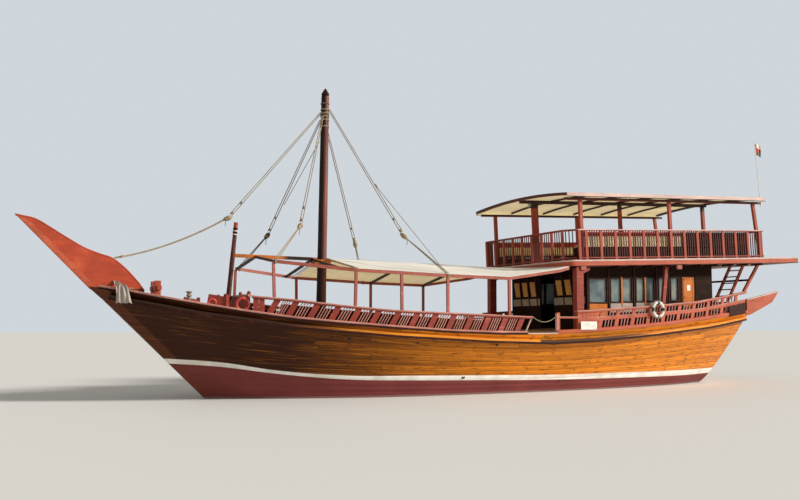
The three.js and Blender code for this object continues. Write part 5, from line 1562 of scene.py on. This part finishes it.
class PaintSettings(bpy.types.PropertyGroup):
    varnish: colour_setting("Varnish", "Varnished planks", "ec8c18")
    varnish_light: colour_setting("Light varnish", "Palest planks", "ffb032")
    # Bow brown darkens the planks and the rubbing strake towards the bow as painted shade; on the strake it
    # also paints the dark stretch abaft the gangway
    bow_brown: colour_setting("Bow brown", "Planks at the bow", "3a1a09")
    stem_brown: colour_setting("Stem brown", "Stem timber", "6a3a22")
    bottom: colour_setting("Bottom", "Paint below the white line", "84403e")
    prow: colour_setting("Prow", "Prow board", "b0452a")
    prow_light: colour_setting("Light prow", "Worn prow board", "c8623f")
    rail_red: colour_setting("Rail red", "Bulwarks and guard rails", "93392a")
    rail_worn: colour_setting("Worn rail", "Worn rails", "ba6a58")
    rail_dark: colour_setting("Dark rail", "Thin balusters in the shade", "56231d")
    trim_pink: colour_setting("Trim", "Cap rails and mouldings", "c08476")
    trim_pale: colour_setting("Pale trim", "Worn cap rails", "e2b8aa")
    beam: colour_setting("Beam", "Awning and canopy timbers", "9a4f2c")
    beam_light: colour_setting("Light beam", "Palest timbers", "cf8446")
    beam_pink: colour_setting("Pink beam", "Eave beams", "a85a4c")
    beam_dark: colour_setting("Dark beam", "Cross beams", "35160e")
    mast: colour_setting("Mast", "Mast", "22110c")
    # Light mast is the mast's painted sunlit side; on the stem and in worn spots it is a worn tone
    mast_light: colour_setting("Light mast", "Worn mast", "8a4e3e")
    post: colour_setting("Post", "Forward post and upper posts", "a54630")
    # Fascia salmon is also laid on the aft bulwark and aft pillars as a sunlit copy of the rail red: painted
    # light
    fascia: colour_setting("Fascia", "Edge of the upper deck", "b8573a")
    bench_light: colour_setting("Light bench", "Palest bench boards", "fff0c4")
    cap: colour_setting("Cap", "Pale caps of the guard rails and canopy edge", "dcbcb2")
    sill: colour_setting("Sill", "Sills and grey mouldings", "a89c92")
    band: colour_setting("Band", "Red band over the bench backs", "b5382c")
    amber: colour_setting("Amber", "Bright panels of the deckhouse front", "e0a03a")
    cabin: colour_setting("Cabin", "Deckhouse panels", "24120a")
    cabin_light: colour_setting("Light cabin", "Worn deckhouse", "42240f")
    door: colour_setting("Door", "Door and orange panels", "d07426")
    deck: colour_setting("Deck", "Deck planks", "8f6f52")
    canvas: colour_setting("Canvas", "Awning", "e8e4da")
    # This colour paints the glowing undersides of the awning and canopy, as painted light through the cloth
    canopy: colour_setting("Canopy", "Canopy cloth", "f2e0ae")
    cushion: colour_setting("Cushion", "Bench cushions", "cdb98f")
    rope: colour_setting("Rope", "Rigging", "a8987c")
    old_rope: colour_setting("Old rope", "Weathered rope", "75614a")
    iron: colour_setting("Iron", "Forged iron", "4a4642")
    bronze: colour_setting("Bronze", "Propeller", "a88448")


class StageSettings(bpy.types.PropertyGroup):
    floor: colour_setting("Floor", "Pale floor", "e2e3e2")
    sky: colour_setting("Backdrop", "Pale backdrop", "dfe6ec")
    ambient: colour_setting("Ambient", "Colour of the light all round", "efeae2")
    key: FloatProperty(name="Key light", description="Strength of the main light", default=4.4)
    fill: FloatProperty(name="Fill light", description="Strength of the light all round", default=0.42)
    backdrop: FloatProperty(name="Backdrop strength", description="Brightness of the backdrop as seen",
                            default=0.85)
    lens: FloatProperty(name="Lens", description="Camera lens in millimetres", default=40.48)


class DhowSettings(bpy.types.PropertyGroup):
    hull: PointerProperty(type=HullSettings)
    paint: PointerProperty(type=PaintSettings)
    stage: PointerProperty(type=StageSettings)


class DHOW_OT_stage(bpy.types.Operator):
    """Camera at the photograph's place, pale floor at the waterline, soft key light and pale backdrop"""

    bl_idname = "dhow.stage"
    bl_label = "Stage"

    def execute(self, context):
        settings = context.scene.dhow.stage
        camera = bpy.data.objects.new("camera", bpy.data.cameras.new("camera"))
        context.scene.collection.objects.link(camera)
        camera.location = CAMERA_PLACE
        camera.rotation_euler = [math.radians(angle) for angle in CAMERA_TURN]
        camera.data.lens, camera.data.sensor_width = settings.lens, SENSOR_WIDTH
        camera.data.clip_end = 500
        context.scene.camera = camera
        corners = [(x * FLOOR_REACH, y * FLOOR_REACH, 0) for x, y in ((-1, -1), (1, -1), (1, 1), (-1, 1))]
        mesh = bpy.data.meshes.new("floor")
        mesh.from_pydata(corners, [], [(0, 1, 2, 3)])
        floor = bpy.data.objects.new("floor", mesh)
        context.scene.collection.objects.link(floor)
        mesh.materials.append(Paint("floor").done(tuple(settings.floor) + (1.0,), roughness=0.6))
        sun = bpy.data.objects.new("key", bpy.data.lights.new("key", "SUN"))
        context.scene.collection.objects.link(sun)
        sun.data.energy, sun.data.angle, sun.data.color = settings.key, math.radians(SUN_WIDTH), SUN_TINT
        sun.rotation_mode = "QUATERNION"
        sun.rotation_quaternion = Vector(SUN_FROM).to_track_quat("Z", "Y")
        world = bpy.data.worlds.new("backdrop")
        context.scene.world = world
        world.use_nodes = True
        tree = world.node_tree
        lit = tree.nodes["Background"]
        kinds = ("ShaderNodeBackground", "ShaderNodeLightPath", "ShaderNodeMixShader")
        seen, path, mix = (tree.nodes.new(kind) for kind in kinds)
        looks = ((lit, settings.fill, settings.ambient), (seen, settings.backdrop, settings.sky))
        for back, strength, colour in looks:
            back.inputs["Color"].default_value = tuple(colour) + (1.0,)
            back.inputs["Strength"].default_value = strength
        tree.links.new(path.outputs["Is Camera Ray"], mix.inputs[0])
        tree.links.new(lit.outputs[0], mix.inputs[1])
        tree.links.new(seen.outputs[0], mix.inputs[2])
        tree.links.new(mix.outputs[0], tree.nodes["World Output"].inputs["Surface"])
        context.scene.view_settings.view_transform = "Standard"
        return {"FINISHED"}


class DHOW_OT_hull(bpy.types.Operator):
    """Planked hull skin with painted bottom and deck"""

    bl_idname = "dhow.hull"
    bl_label = "Hull"

    def execute(self, context):
        hull_skin(context.scene.dhow.hull)
        return {"FINISHED"}


class DHOW_OT_bulwarks(bpy.types.Operator):
    """Bulwarks with their boards, balusters and mouldings, the breakwater and the rubbing strakes"""

    bl_idname = "dhow.bulwarks"
    bl_label = "Bulwarks"

    def execute(self, context):
        gunwale_pieces()
        for side, name in SIDES:
            fore_bulwark(side, name)
            aft_bulwark(side, name)
        breakwater()
        rub_rails()
        return {"FINISHED"}


class DHOW_OT_rigging(bpy.types.Operator):
    """Mast, forward post and the main stays with their blocks and lashings"""

    bl_idname = "dhow.rigging"
    bl_label = "Rigging"

    def execute(self, context):
        spars()
        for each in STAYS:
            stay(*each)
        return {"FINISHED"}


class DHOW_OT_deckhouse(bpy.types.Operator):
    """Windows, panels and door of the deckhouse, and the small fittings of the hull"""

    bl_idname = "dhow.deckhouse"
    bl_label = "Deckhouse"

    def execute(self, context):
        for side, name in SIDES:
            cabin_side(side, name)
        cabin_front()
        door_mouldings()
        prow()
        prow_cloth()
        fittings()
        return {"FINISHED"}


class DHOW_OT_cloths(bpy.types.Operator):
    """Awning, canopy, flag, bench cushions and the rope across the gangway"""

    bl_idname = "dhow.cloths"
    bl_label = "Cloths"

    def execute(self, context):
        awning()
        canopy()
        flag()
        cushions()
        gangway_rope()
        lifebuoys()
        return {"FINISHED"}


class DHOW_OT_upper_deck(bpy.types.Operator):
    """Guard rails, benches and edge of the upper deck"""

    bl_idname = "dhow.upper_deck"
    bl_label = "Upper deck"

    def execute(self, context):
        upper_rails()
        upper_deck_trim()
        benches()
        return {"FINISHED"}


# Finishes of nodes that differ from their slot's own
NODE_FINISHES = {
    "rudder": "rudder_planks",
    "bow_bitts": "upper_post",
    "awning_ridge": "ridge_timber",
    "awning_eave_port": "pink_beam",
    "awning_eave_starboard": "pink_beam",
    "canopy_centre": "canopy_timber",
    "canopy_side_port": "canopy_timber",
    "canopy_side_starboard": "canopy_timber",
    "quarter_wing_port": "fascia",
    "quarter_wing_starboard": "fascia",
    # The aft pillars take the brighter fascia salmon instead of the red, as painted sunlight
    "pillar_aft_port": "fascia",
    "pillar_aft_starboard": "fascia",
    "stern_ladder": "fascia",
    "pillar_middle_port": "red_timber",
    "pillar_middle_starboard": "red_timber",
}


class DHOW_OT_frame_finishes(bpy.types.Operator):
    """Gives every CAD node the finish of its slot"""

    bl_idname = "dhow.frame_finishes"
    bl_label = "Frame finishes"

    def execute(self, context):
        for name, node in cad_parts.items():
            slot = node.data.materials[0].name
            node.data.materials[0] = finish(NODE_FINISHES.get(name, slot))
        return {"FINISHED"}


OPERATORS = (DHOW_OT_stage, DHOW_OT_hull, DHOW_OT_bulwarks, DHOW_OT_rigging, DHOW_OT_cloths,
             DHOW_OT_upper_deck, DHOW_OT_deckhouse, DHOW_OT_frame_finishes)


class DHOW_PT_panel(bpy.types.Panel):
    bl_idname = "DHOW_PT_panel"
    bl_label = "Dhow"
    bl_space_type = "VIEW_3D"
    bl_region_type = "UI"
    bl_category = "Dhow"

    def draw(self, context):
        for operator in OPERATORS:
            self.layout.operator(operator.bl_idname)
        for group in (context.scene.dhow.hull, context.scene.dhow.paint, context.scene.dhow.stage):
            for name in group.__annotations__:
                self.layout.prop(group, name)


CLASSES = (HullSettings, PaintSettings, StageSettings, DhowSettings) + OPERATORS + (DHOW_PT_panel,)


def register():
    for each in CLASSES:
        bpy.utils.register_class(each)
    bpy.types.Scene.dhow = PointerProperty(type=DhowSettings)


def unregister():
    del bpy.types.Scene.dhow
    for each in reversed(CLASSES):
        bpy.utils.unregister_class(each)


def main():
    register()
    for operator in OPERATORS:
        group, name = operator.bl_idname.split(".")
        getattr(getattr(bpy.ops, group), name)()
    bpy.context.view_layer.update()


if __name__ == "__main__":
    main()
